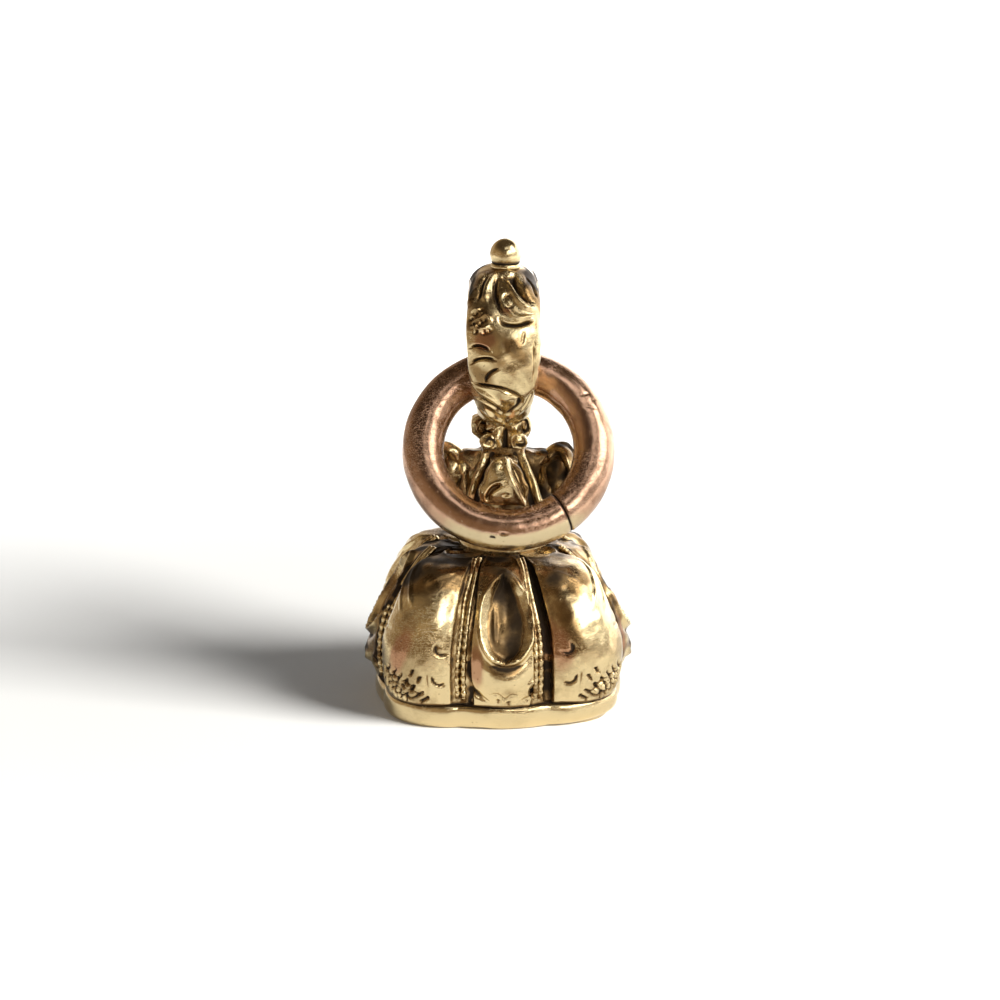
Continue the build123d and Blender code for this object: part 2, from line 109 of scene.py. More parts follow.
def wobble(P, size, seed=0.0):
    """Gentle unevenness between about -1 and 1 over points in millimetres, from six crossing sine waves
    of about that size."""
    total = 0.0
    for k in range(6):
        a = seed + 2.4 * k
        d = np.array([math.sin(a * 1.7 + 0.3), math.cos(a * 2.3 + 1.1), math.sin(a * 3.1 + 2.0)])
        d = d / np.linalg.norm(d) * (FULL_TURN / size) * (0.75 + 0.17 * k)
        total = total + np.sin(P @ d + a * 5.0)
    return total / 3.2


def stroke(A, B, points, width, height, taper=0.25, count=14, closed=False):
    """The height of a carved or raised line at chart coordinates A, B: height * exp(-(distance / width)^2),
    worked out within three widths of the line. An open line thins out over the taper's share at each end."""
    line = curve(points, count, closed)
    reach = 3 * width
    near = (A > line[:, 0].min() - reach) & (A < line[:, 0].max() + reach)
    near &= (B > line[:, 1].min() - reach) & (B < line[:, 1].max() + reach)
    a, b = A[near], B[near]
    gap = np.full(a.shape, 1e9)
    place = np.zeros(a.shape)
    for k, (p, q) in enumerate(zip(line[:-1], line[1:])):
        d = q - p
        t = np.clip(((a - p[0]) * d[0] + (b - p[1]) * d[1]) / (d @ d + 1e-12), 0, 1)
        here = np.hypot(a - p[0] - t * d[0], b - p[1] - t * d[1])
        place = np.where(here < gap, (k + t) / (count - 1), place)
        gap = np.minimum(gap, here)
    full = 1.0 if closed else smooth(place, -0.02, taper) * smooth(-place, -1.02, taper - 1)
    h = np.zeros(A.shape)
    h[near] = height * full * hump(gap, 0, width * (0.45 + 0.55 * full))
    return h


def strokes(A, B, lines):
    """The sum of open strokes, each listed as its width, height and points."""
    return sum(stroke(A, B, points, width, height) for width, height, points in lines)


def blob(A, B, a, b, ra, rb, height, turn=0.0):
    """A soft oval bump or pit on a chart: height * exp(-(u^2 + v^2)) in the oval's own turned coordinates."""
    c, s = math.cos(turn), math.sin(turn)
    u = ((A - a) * c + (B - b) * s) / ra
    v = (-(A - a) * s + (B - b) * c) / rb
    return height * np.exp(-(u * u + v * v))


def blobs(A, B, ovals):
    """The sum of several bumps or pits, each listed as blob takes it."""
    return sum(blob(A, B, *oval) for oval in ovals)


def pits(A, B, centres, radius, depth):
    """Small punched pits at the listed chart places."""
    return blobs(A, B, [(a, b, radius, radius, -depth) for a, b in centres])


def round_angles(count, first=-math.pi):
    """Even angles once round, from the first one on."""
    return np.linspace(first, first + FULL_TURN, count, endpoint=False)


def on_circle(reach, theta, z):
    """Points at a reach from the Z axis, an angle round it and a height."""
    return np.stack(np.broadcast_arrays(reach * np.cos(theta), reach * np.sin(theta), z), axis=-1)


def sideways(reach, theta, line):
    """How far round from a line at one angle points lie, along the arc at their own reach."""
    return reach * (np.mod(theta - line + math.pi, FULL_TURN) - math.pi)


def raised(P, h):
    """A grid of points whose columns close on themselves, moved by the height h along its unit normals, which
    point away from its middle."""
    across = np.roll(P, -1, axis=1) - np.roll(P, 1, axis=1)
    N = np.cross(np.gradient(P, axis=0), across)
    N /= np.linalg.norm(N, axis=2, keepdims=True) + 1e-12
    if np.sum(N * (P - P.reshape(-1, 3).mean(axis=0))) < 0:
        N = -N
    return P + h[..., None] * N


def turned(P, angle):
    """Points turned about the Z axis."""
    c, s = math.cos(angle), math.sin(angle)
    return np.stack([P[..., 0] * c - P[..., 1] * s, P[..., 0] * s + P[..., 1] * c, P[..., 2]], axis=-1)


def tipped(P, angle):
    """Points turned about the X axis."""
    c, s = math.cos(angle), math.sin(angle)
    return np.stack([P[..., 0], P[..., 1] * c - P[..., 2] * s, P[..., 1] * s + P[..., 2] * c], axis=-1)


def to_row(P):
    """Points of the handle's own frame turned and moved into the row frame."""
    return turned(P, HANDLE_TURN) + np.array([HANDLE_OFFSET, 0.0, 0.0])


# Meshes

def add_object(name, data):
    """A new object in the scene that holds the given mesh, lamp or camera."""
    obj = bpy.data.objects.new(name, data)
    bpy.context.scene.collection.objects.link(obj)
    return obj


def grid_faces(rows, cols):
    """Quads of a grid closed across its columns, and a fan of triangles on a pole vertex at each end."""
    here = np.arange((rows - 1) * cols)
    beside = here - here % cols + (here + 1) % cols
    quads = np.stack([here, beside, beside + cols, here + cols], axis=1)
    first, last = np.full(cols, rows * cols), np.full(cols, rows * cols + 1)
    top = np.stack([first, beside[:cols], here[:cols]], axis=1)
    end = np.stack([last, here[-cols:] + cols, beside[-cols:] + cols], axis=1)
    return quads, np.vstack([top, end])


def make_piece(name, grids, material, body, replaced):
    """One object from closed grids in millimetres in the row frame. Each grid is its points, rows by columns,
    its patina and painted shade values and, where it has some, its rose values. Faces are turned so that a
    grid's volume, the sum of its triangles' triple products, is positive."""
    verts, faces, patina_shade, rose = [], [], [], []
    start = 0
    for P, C, *R in grids:
        R = R[0] if R else np.zeros(C.shape)
        V = np.vstack([P.reshape(-1, 3), P[0].mean(axis=0), P[-1].mean(axis=0)])
        quads, fans = grid_faces(*P.shape[:2])
        t = np.vstack([quads[:, :3], quads[:, [0, 2, 3]], fans])
        volume = np.einsum("ij,ij->", V[t[:, 0]], np.cross(V[t[:, 1]], V[t[:, 2]]))
        way = 1 if volume > 0 else -1
        faces += (quads + start)[:, ::way].tolist() + (fans + start)[:, ::way].tolist()
        verts.append(V)
        for values, field in ((patina_shade, C), (rose, R)):
            values += [field.ravel(), [field[0].mean(), field[-1].mean()]]
        start += len(V)
    mesh = bpy.data.meshes.new(name)
    mesh.from_pydata((np.vstack(verts) * 0.001).tolist(), [], faces)
    for key, values in (("patina_shade", patina_shade), ("rose", rose)):
        layer = mesh.attributes.new(key, "FLOAT", "POINT")
        layer.data.foreach_set("value", np.clip(np.concatenate(values), -0.5, 1).astype(np.float32))
    mesh.polygons.foreach_set("use_smooth", np.ones(len(mesh.polygons), bool))
    mesh.materials.append(material)
    mesh.update()
    obj = add_object(name, mesh)
    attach(obj, body)
    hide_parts(replaced)


def tube(path, radius, around):
    """A round tube with rounded ends along a path in space as a closed grid: rows along it, columns round it,
    with a radius for each row."""
    T = np.gradient(path, axis=0)
    T /= np.linalg.norm(T, axis=1, keepdims=True)
    aside = np.array([0.0, 0.0, 1.0]) if abs(T[:, 2]).mean() < 0.8 else np.array([0.0, 1.0, 0.0])
    U = np.cross(T, aside)
    U /= np.linalg.norm(U, axis=1, keepdims=True)
    W = np.cross(T, U)
    n = np.arange(len(path))
    from_end = np.minimum(np.minimum(n, n[::-1]) / 3.0, 1)
    radius = radius * np.sqrt(np.clip(1 - (1 - from_end) ** 2, 0.02, 1))
    psi = round_angles(around, 0.0)[None, :, None]
    return path[:, None] + radius[:, None, None] * (np.cos(psi) * U[:, None] + np.sin(psi) * W[:, None])


# Materials

def node(tree, kind, inputs=None, **settings):
    """A new node with its settings and its inputs, which are values or sockets."""
    n = tree.nodes.new(kind)
    for key, value in settings.items():
        setattr(n, key, value)
    for key, value in (inputs or {}).items():
        if isinstance(value, bpy.types.NodeSocket):
            tree.links.new(value, n.inputs[key])
        else:
            n.inputs[key].default_value = value
    return n


def mix_colour(tree, factor, a, b):
    """A colour mixed from two others."""
    return node(tree, "ShaderNodeMix", {0: factor, 6: a, 7: b}, data_type="RGBA").outputs[2]


def maths(tree, operation, a, b=0.0, clamp=False):
    """One sum or other operation on two numbers."""
    return node(tree, "ShaderNodeMath", {0: a, 1: b}, operation=operation, use_clamp=clamp).outputs[0]


def ramp(tree, value, low, high, out_low=0.0, out_high=1.0):
    """A number carried over from one range to another with an even S."""
    inputs = {"Value": value, "From Min": low, "From Max": high, "To Min": out_low, "To Max": out_high}
    return node(tree, "ShaderNodeMapRange", inputs, interpolation_type="SMOOTHSTEP").outputs[0]


def noise(tree, place, scale, detail, rough, distortion=0.0):
    """A noise value between 0 and 1."""
    inputs = {"Vector": place, "Scale": scale, "Detail": detail, "Roughness": rough, "Distortion": distortion}
    return node(tree, "ShaderNodeTexNoise", inputs).outputs["Fac"]


def stretched(tree, place, rotation, scale):
    """A place turned and drawn out, for streaks."""
    inputs = {"Vector": place, "Rotation": rotation, "Scale": scale}
    return node(tree, "ShaderNodeMapping", inputs).outputs[0]


def object_place(tree):
    """The place on the object itself."""
    return node(tree, "ShaderNodeTexCoord").outputs["Object"]


def group_frame(name, takes, gives):
    """An empty node group with named inputs and outputs."""
    g = bpy.data.node_groups.new(name, "ShaderNodeTree")
    for label, kind, value in takes:
        g.interface.new_socket(name=label, in_out="INPUT", socket_type=kind).default_value = value
    for label, kind in gives:
        g.interface.new_socket(name=label, in_out="OUTPUT", socket_type=kind)
    return g, g.nodes.new("NodeGroupInput"), g.nodes.new("NodeGroupOutput")


def make_wear_and_shade_group():
    """Worn old metal with painted shade: a colour turned brown and then blackened as its patina and shade value
    grows, stained in clouds where it isn't rubbed clear, which a value under 0 stands for, and tinted where its
    rosiness is high, with scratches and specks. The value holds patina in hollows and also the painted shade,
    painted dark reflections and painted highlights set on the meshes."""
    takes = [
        ("Metal", "NodeSocketColor", (0.8, 0.6, 0.33, 1)),
        ("Stain_and_shade", "NodeSocketColor", (0.4, 0.25, 0.1, 1)),
        ("Dirt_and_shade", "NodeSocketColor", (0.03, 0.018, 0.008, 1)),
        ("Rose", "NodeSocketColor", (0.7, 0.36, 0.24, 1)),
        ("Patina and shade", "NodeSocketFloat", 0.0),
        ("Rosiness", "NodeSocketFloat", 0.0),
        ("Scratches", "NodeSocketFloat", 1.0),
        ("Stains", "NodeSocketFloat", 1.0),
        ("Dullness", "NodeSocketFloat", 0.16),
    ]
    gives = [("Colour", "NodeSocketColor"), ("Roughness", "NodeSocketFloat"), ("Metallic", "NodeSocketFloat"),
             ("Normal", "NodeSocketVector")]
    g, source, sink = group_frame("worn_metal_and_shade", takes, gives)
    take = source.outputs
    place = object_place(g)

    def times(a, b):
        return maths(g, "MULTIPLY", a, b)

    def plus(a, b):
        return maths(g, "ADD", a, b)

    def varied(value, field, share):
        return plus(value, times(maths(g, "SUBTRACT", field, 0.5), share))

    def hairlines(rotation, scale, fineness, level, width):
        field = noise(g, stretched(g, place, rotation, scale), fineness, 2.0, 0.5)
        return ramp(g, maths(g, "ABSOLUTE", maths(g, "SUBTRACT", field, level)), 0.0, width, 1.0, 0.0)

    broad = noise(g, place, 260.0, 5.0, 0.6)
    fine = noise(g, place, 1500.0, 6.0, 0.65)
    cloud = noise(g, place, 620.0, 5.0, 0.6, 0.4)
    speck = ramp(g, noise(g, place, 5200.0, 3.0, 0.5), 0.69, 0.76)
    one_way = hairlines((0.5, 0.9, 0.3), (1.0, 9.0, 9.0), 700.0, 0.5, 0.012)
    other_way = hairlines((1.2, -0.6, 1.1), (8.0, 1.0, 8.0), 900.0, 0.47, 0.01)
    scratched = times(maths(g, "MAXIMUM", one_way, other_way), ramp(g, broad, 0.4, 0.62))
    scratched = times(scratched, take["Scratches"])
    stained = times(ramp(g, plus(times(broad, 0.5), times(cloud, 0.5)), 0.48, 0.6), take["Stains"])
    stained = times(stained, ramp(g, take["Patina and shade"], -0.4, 0.0))
    # deep is the patina and painted shade value, varied a little.
    deep = varied(take["Patina and shade"], fine, 0.5)
    dirt_and_shade = ramp(g, deep, 0.5, 0.95)
    browned_and_shaded = ramp(g, varied(deep, broad, 0.7), 0.12, 0.5)
    rosy = ramp(g, varied(take["Rosiness"], fine, 0.7), 0.15, 0.8)
    brown = maths(g, "MAXIMUM", times(stained, 0.55), times(browned_and_shaded, 0.92))
    colour = mix_colour(g, brown, take["Metal"], take["Stain_and_shade"])
    colour = mix_colour(g, times(rosy, 0.85), colour, take["Rose"])
    colour = mix_colour(g, times(dirt_and_shade, 0.94), colour, take["Dirt_and_shade"])
    colour = mix_colour(g, times(speck, 0.45), colour, take["Dirt_and_shade"])
    rough = plus(plus(take["Dullness"], times(fine, 0.16)), times(dirt_and_shade, 0.4))
    rough = maths(g, "ADD", rough, times(scratched, 0.16), clamp=True)
    metal = ramp(g, dirt_and_shade, 0.0, 1.0, 1.0, 0.7)
    height = maths(g, "SUBTRACT", times(fine, 0.5), times(scratched, 0.35))
    height = plus(maths(g, "SUBTRACT", height, times(speck, 0.6)), times(broad, 0.9))
    bump = node(g, "ShaderNodeBump", {"Strength": 0.55, "Distance": 0.00006, "Height": height}).outputs[0]
    for label, value in (("Colour", colour), ("Roughness", rough), ("Metallic", metal), ("Normal", bump)):
        g.links.new(value, sink.inputs[label])
    return g


# "Rose" is the colour of a mesh's rosy places: red on the yellow gold, and on the rose gold ring a pale yellow,
# painted as a reflection of the pale floor along the ring's lower outer band.
ANTIQUE_GOLD = {"Metal": (0.68, 0.54, 0.3, 1), "Stain_and_shade": (0.2, 0.115, 0.042, 1),
                "Dirt_and_shade": (0.016, 0.009, 0.004, 1), "Rose": (0.4, 0.2, 0.11, 1),
                "Scratches": 0.5, "Stains": 1.0, "Dullness": 0.11}
ROSE_GOLD = {"Metal": (0.47, 0.29, 0.19, 1), "Stain_and_shade": (0.16, 0.08, 0.045, 1),
             "Dirt_and_shade": (0.02, 0.01, 0.007, 1), "Rose": (0.6, 0.5, 0.3, 1),
             "Scratches": 0.8, "Stains": 1.0, "Dullness": 0.13}
PEG_METAL = {"Metal": (0.6, 0.46, 0.26, 1), "Stain_and_shade": (0.3, 0.2, 0.1, 1),
             "Dirt_and_shade": (0.02, 0.012, 0.006, 1), "Rose": (0.6, 0.34, 0.24, 1),
             "Scratches": 1.0, "Stains": 1.4, "Dullness": 0.3}


def new_material(name):
    """A material, its node tree and its Principled shader."""
    m = bpy.data.materials.new(name)
    m.use_nodes = True
    return m, m.node_tree, m.node_tree.nodes["Principled BSDF"]


def metal_material(name, wear_and_shade, look, carved=True):
    """A material of worn metal with painted shade. A carved one reads the patina and painted shade values and
    the rose values of its mesh, and the one on carried-over CAD nodes has none to read."""
    m, t, shader = new_material(name)
    g = node(t, "ShaderNodeGroup", look, node_tree=wear_and_shade)
    if carved:
        for key, label in (("patina_shade", "Patina and shade"), ("rose", "Rosiness")):
            a = node(t, "ShaderNodeAttribute", attribute_name=key)
            t.links.new(a.outputs["Fac"], g.inputs[label])
    sockets = {"Colour": "Base Color", "Roughness": "Roughness", "Metallic": "Metallic", "Normal": "Normal"}
    for label, socket in sockets.items():
        t.links.new(g.outputs[label], shader.inputs[socket])
    return m


def stone_material():
    """A polished brown red hardstone with faint bands and clouds."""
    m, t, shader = new_material("hardstone")
    place = object_place(t)
    cloud = noise(t, place, 420.0, 6.0, 0.6, 0.6)
    bands = noise(t, stretched(t, place, (0.2, 0.1, 0.6), (1.0, 4.5, 1.0)), 330.0, 3.0, 0.5, 0.9)
    colour = mix_colour(t, ramp(t, cloud, 0.35, 0.7), (0.19, 0.035, 0.016, 1), (0.36, 0.085, 0.03, 1))
    colour = mix_colour(t, ramp(t, bands, 0.5, 0.66, 0.0, 0.6), colour, (0.5, 0.2, 0.1, 1))
    t.links.new(colour, shader.inputs["Base Color"])
    t.links.new(ramp(t, cloud, 0.3, 0.8, 0.08, 0.2), shader.inputs["Roughness"])
    return m


def cement_material():
    """Dark, slightly glossy resin cement with grains."""
    m, t, shader = new_material("resin_cement")
    grain = noise(t, object_place(t), 2200.0, 5.0, 0.6)
    colour = mix_colour(t, ramp(t, grain, 0.35, 0.7), (0.03, 0.015, 0.008, 1), (0.1, 0.05, 0.022, 1))
    bump = node(t, "ShaderNodeBump", {"Strength": 0.4, "Distance": 0.00005, "Height": grain})
    t.links.new(colour, shader.inputs["Base Color"])
    t.links.new(ramp(t, grain, 0.3, 0.7, 0.35, 0.6), shader.inputs["Roughness"])
    t.links.new(bump.outputs[0], shader.inputs["Normal"])
    return m


# The lobed body. Its table gives, from the top down, a height and the reach there of the crests of the face
# lobes, of the corner lobes and of the grooves between them.

LEVEL_Z = BODY_BASE + (BODY_TOP - BODY_BASE) * np.array([0, 0.09, 0.22, 0.38, 0.52, 0.64, 0.77, 0.89, 0.965, 1])
FACE_REACH = BODY_HALF * np.array([0.935, 0.968, 0.995, 0.983, 0.936, 0.862, 0.765, 0.66, 0.55, 0.45])
CORNER_REACH = BODY_CORNER * np.array([0.915, 0.96, 0.99, 0.985, 0.945, 0.89, 0.815, 0.72, 0.59, 0.465])
GROOVE_SHARE = 1.036    # reach at a groove, before it is cut in, over that of the face beside it
GROOVE_REACH = GROOVE_SHARE * FACE_REACH - 1.12 * np.array([0.45, 0.85, 1, 1, 1, 1, 0.95, 0.85, 0.67, 0.5])
BODY_TABLE = np.stack([LEVEL_Z, FACE_REACH, CORNER_REACH, GROOVE_REACH], axis=1)[::-1]


def arc_reach(angle, half, crest, groove):
    """How far a circular arc lies from the axis, at an angle from the middle of its lobe: the circle passes
    through the crest and both grooves."""
    c = (crest ** 2 - groove ** 2) / (2 * (crest - groove * np.cos(half)))
    return c * np.cos(angle) + np.sqrt(np.maximum((crest - c) ** 2 - (c * np.sin(angle)) ** 2, 0.01))


def lobed_reach(theta, face, corner, groove):
    """The reach of the eight arc outline at each angle, for the reaches of its crests and grooves."""
    eighth = QUARTER / 2
    quarter = np.mod(theta + eighth, QUARTER) - eighth
    return np.where(np.abs(quarter) <= GROOVE_ANGLE, arc_reach(quarter, GROOVE_ANGLE, face, groove),
                    arc_reach(np.abs(quarter) - eighth, eighth - GROOVE_ANGLE, corner, groove))


def groove_line(k):
    """On which side of its face lobe a groove lies, and its angle."""
    sign = 1 if k % 2 else -1
    return sign, (k // 2) * QUARTER + sign * GROOVE_ANGLE


# The tear shaped hollow: its rim, and its half width to each side as heights and widths
TEAR = [(0.16, 7.95), (0.62, 7.6), (1.08, 6.95), (1.38, 6.15), (1.46, 5.5), (1.34, 4.75), (0.88, 4.08),
        (0.08, 3.8), (-0.74, 4.1), (-1.12, 4.8), (-1.22, 5.6), (-1.12, 6.35), (-0.85, 7.0), (-0.38, 7.58)]
TEAR_LEFT = ((3.8, 4.0, 4.35, 4.8, 5.6, 6.35, 7.0, 7.58, 7.95),
             (0.0, 0.6, 0.95, 1.14, 1.24, 1.14, 0.88, 0.42, 0.0))
TEAR_RIGHT = ((3.8, 4.0, 4.35, 4.8, 5.5, 6.15, 6.95, 7.6, 7.95),
              (0.0, 0.72, 1.12, 1.3, 1.42, 1.34, 1.04, 0.55, 0.0))
TEAR_DEPTH = 0.66
UNDER_TEAR = [(-1.35, 4.6), (-0.85, 3.75), (0.08, 3.38), (0.98, 3.72), (1.55, 4.5)]
LOBE_EDGE = [(1.55, 6.2), (1.85, 5.2), (1.98, 4.2), (1.98, 3.2), (1.8, 2.4), (1.32, 1.8), (0.5, 1.4)]
FOOT_WAVE = [(-0.9, 1.72), (-0.65, 2.0), (-0.4, 2.04), (0.0, 1.74), (0.3, 1.98), (0.55, 1.95), (0.95, 1.6)]
FOOT_LOOP = [(1.12, 2.2), (1.3, 2.62), (1.6, 2.62), (1.75, 2.15), (1.5, 1.7), (1.2, 1.85)]


def face_lobe_relief(x, z):
    """Relief of a face lobe on its chart of sideways distance and height: the tear shaped hollow in its raised
    rim, and the tongue at its foot between cut edges."""
    half = np.where(x < 0, np.interp(z, *TEAR_LEFT), np.interp(z, *TEAR_RIGHT))
    inside = np.clip(1 - np.abs(x) / np.maximum(half, 0.02), 0, 1) * (half > 0.02)
    h = -TEAR_DEPTH * (1 - (1 - inside) ** 2.4) ** 0.7
    h += stroke(x, z, TEAR, 0.16, 0.2, closed=True, count=44)
    h += stroke(x, z, UNDER_TEAR, 0.22, -0.13, count=24)
    h += blobs(x, z, [(-0.6, 5.7, 0.14, 0.8, 0.14), (-0.3, 4.8, 0.25, 0.3, 0.1), (0.3, 6.3, 0.25, 0.5, -0.08),
                      (0.05, 2.55, 1.2, 0.55, 0.14)])
    for side in (1, -1):
        h += stroke(side * x, z, LOBE_EDGE, 0.14, -0.2, count=24)
    h += stroke(x, z, FOOT_WAVE, 0.07, -0.13, count=20)
    h += stroke(x, z, FOOT_LOOP, 0.09, 0.13, closed=True)
    h += pits(x, z, [(1.43, 2.18), (0.2, 1.5), (-0.35, 1.62)], 0.12, 0.16)
    h += stroke(x, z, [(-0.62, 2.3), (-0.2, 2.42), (0.25, 2.32)], 0.07, -0.05)
    return h


# The struck leaf marks of a corner lobe, and its other lines
NICKS = [
    [(-1.15, 3.15), (-0.3, 2.4), (0.85, 1.42)], [(-0.85, 2.85), (-0.5, 3.3)], [(-0.5, 2.6), (0.0, 3.2)],
    [(-0.15, 2.3), (0.4, 3.0)], [(0.15, 2.05), (0.75, 2.75)], [(0.45, 1.8), (1.1, 2.45)],
    [(0.75, 1.55), (1.45, 2.05)], [(1.05, 1.4), (1.6, 1.7)], [(-1.0, 2.95), (-1.25, 2.35)],
    [(-0.75, 2.7), (-1.0, 1.95)], [(-0.45, 2.5), (-0.75, 1.65)], [(-0.15, 2.25), (-0.45, 1.45)],
    [(0.12, 2.0), (-0.12, 1.38)], [(0.4, 1.8), (0.25, 1.36)], [(0.3, 2.55), (0.75, 2.4)],
    [(0.75, 2.15), (1.15, 1.85)], [(-0.65, 2.05), (-0.25, 1.85)], [(1.2, 2.6), (1.4, 2.95)],
    [(0.85, 2.95), (1.05, 3.3)], [(-0.95, 2.35), (-0.2, 1.9)], [(-0.5, 1.85), (0.15, 1.62)],
    [(0.0, 2.42), (0.6, 2.1)], [(-0.4, 2.9), (0.15, 2.6)], [(0.5, 2.55), (1.0, 2.2)],
    [(0.1, 1.75), (0.65, 1.5)],
]
CORNER_LINES = (
    (0.07, -0.1, [(1.7, 3.4), (1.66, 2.4), (1.45, 1.4)]),
    (0.08, -0.16, [(1.95, 4.75), (1.95, 4.3), (2.15, 4.05), (2.4, 4.2)]),
    (0.08, -0.15, [(1.85, 3.05), (1.9, 2.6), (2.1, 2.4), (2.35, 2.6)]),
    (0.12, 0.08, [(0.45, 7.4), (0.95, 7.85), (1.5, 8.05)]),
    (0.09, -0.14, [(-1.5, 3.5), (-1.65, 3.1), (-1.5, 2.75)]),
    (0.1, 0.1, [(-0.9, 8.4), (-0.85, 7.9), (-0.45, 7.2), (0.3, 6.3)]),
    (0.09, 0.08, [(-1.3, 8.2), (-1.3, 7.5), (-0.9, 6.7), (-0.2, 5.8)]),
    (0.08, -0.05, [(-1.7, 5.3), (-1.2, 5.05), (-0.7, 5.15)]),
)


def corner_lobe_relief(x, z):
    """Relief of a corner lobe: struck leaf marks low on its crest inside a cut line, raised edges, and a few
    crescents and worn lines."""
    h = sum(stroke(x, z, line, 0.08, -0.2, taper=0.1) for line in NICKS)
    return h + blob(x, z, 0.35, 2.2, 1.1, 0.7, 0.1) + strokes(x, z, CORNER_LINES)


# For the grooves on the left and right of a face lobe, the places across the groove of its dark strip, which is
# painted shade on the groove's shaded side over patina in the groove, of the middle of its wires, and of its
# edges on the face lobe and the corner lobe; then of the two wires themselves
GROOVE_PLACES = {-1: (0.48, -0.34, 0.76, -0.42), 1: (0.02, -0.9, -0.98, 0.3)}
WIRE_PLACES = {-1: (-0.12, 0.17), 1: (-0.7, -0.41)}
SIDE_GROOVES = (0, 1, 4, 5)
# Darkened places of each face lobe and corner lobe, as blob takes them. On a face lobe the second is a painted
# shadow under the hollow's rim and the others are darker patches; on a corner lobe the first is a painted dark
# reflection on one flank, the second a darker patch near the top, and the last, below 0, a spot kept clear of
# stain as a painted highlight.
FACE_STAINS_AND_SHADOW = ((0.1, 8.2, 0.55, 0.45, 0.6), (0.05, 3.45, 1.0, 0.4, 0.8), (0.1, 2.2, 0.9, 0.7, 0.3))
CORNER_STAINS_AND_REFLECTIONS = ((-1.8, 5.6, 0.55, 1.9, 0.6), (-0.9, 7.6, 0.6, 0.9, 0.5), (1.35, 6.1, 0.75, 1.2, -0.45))


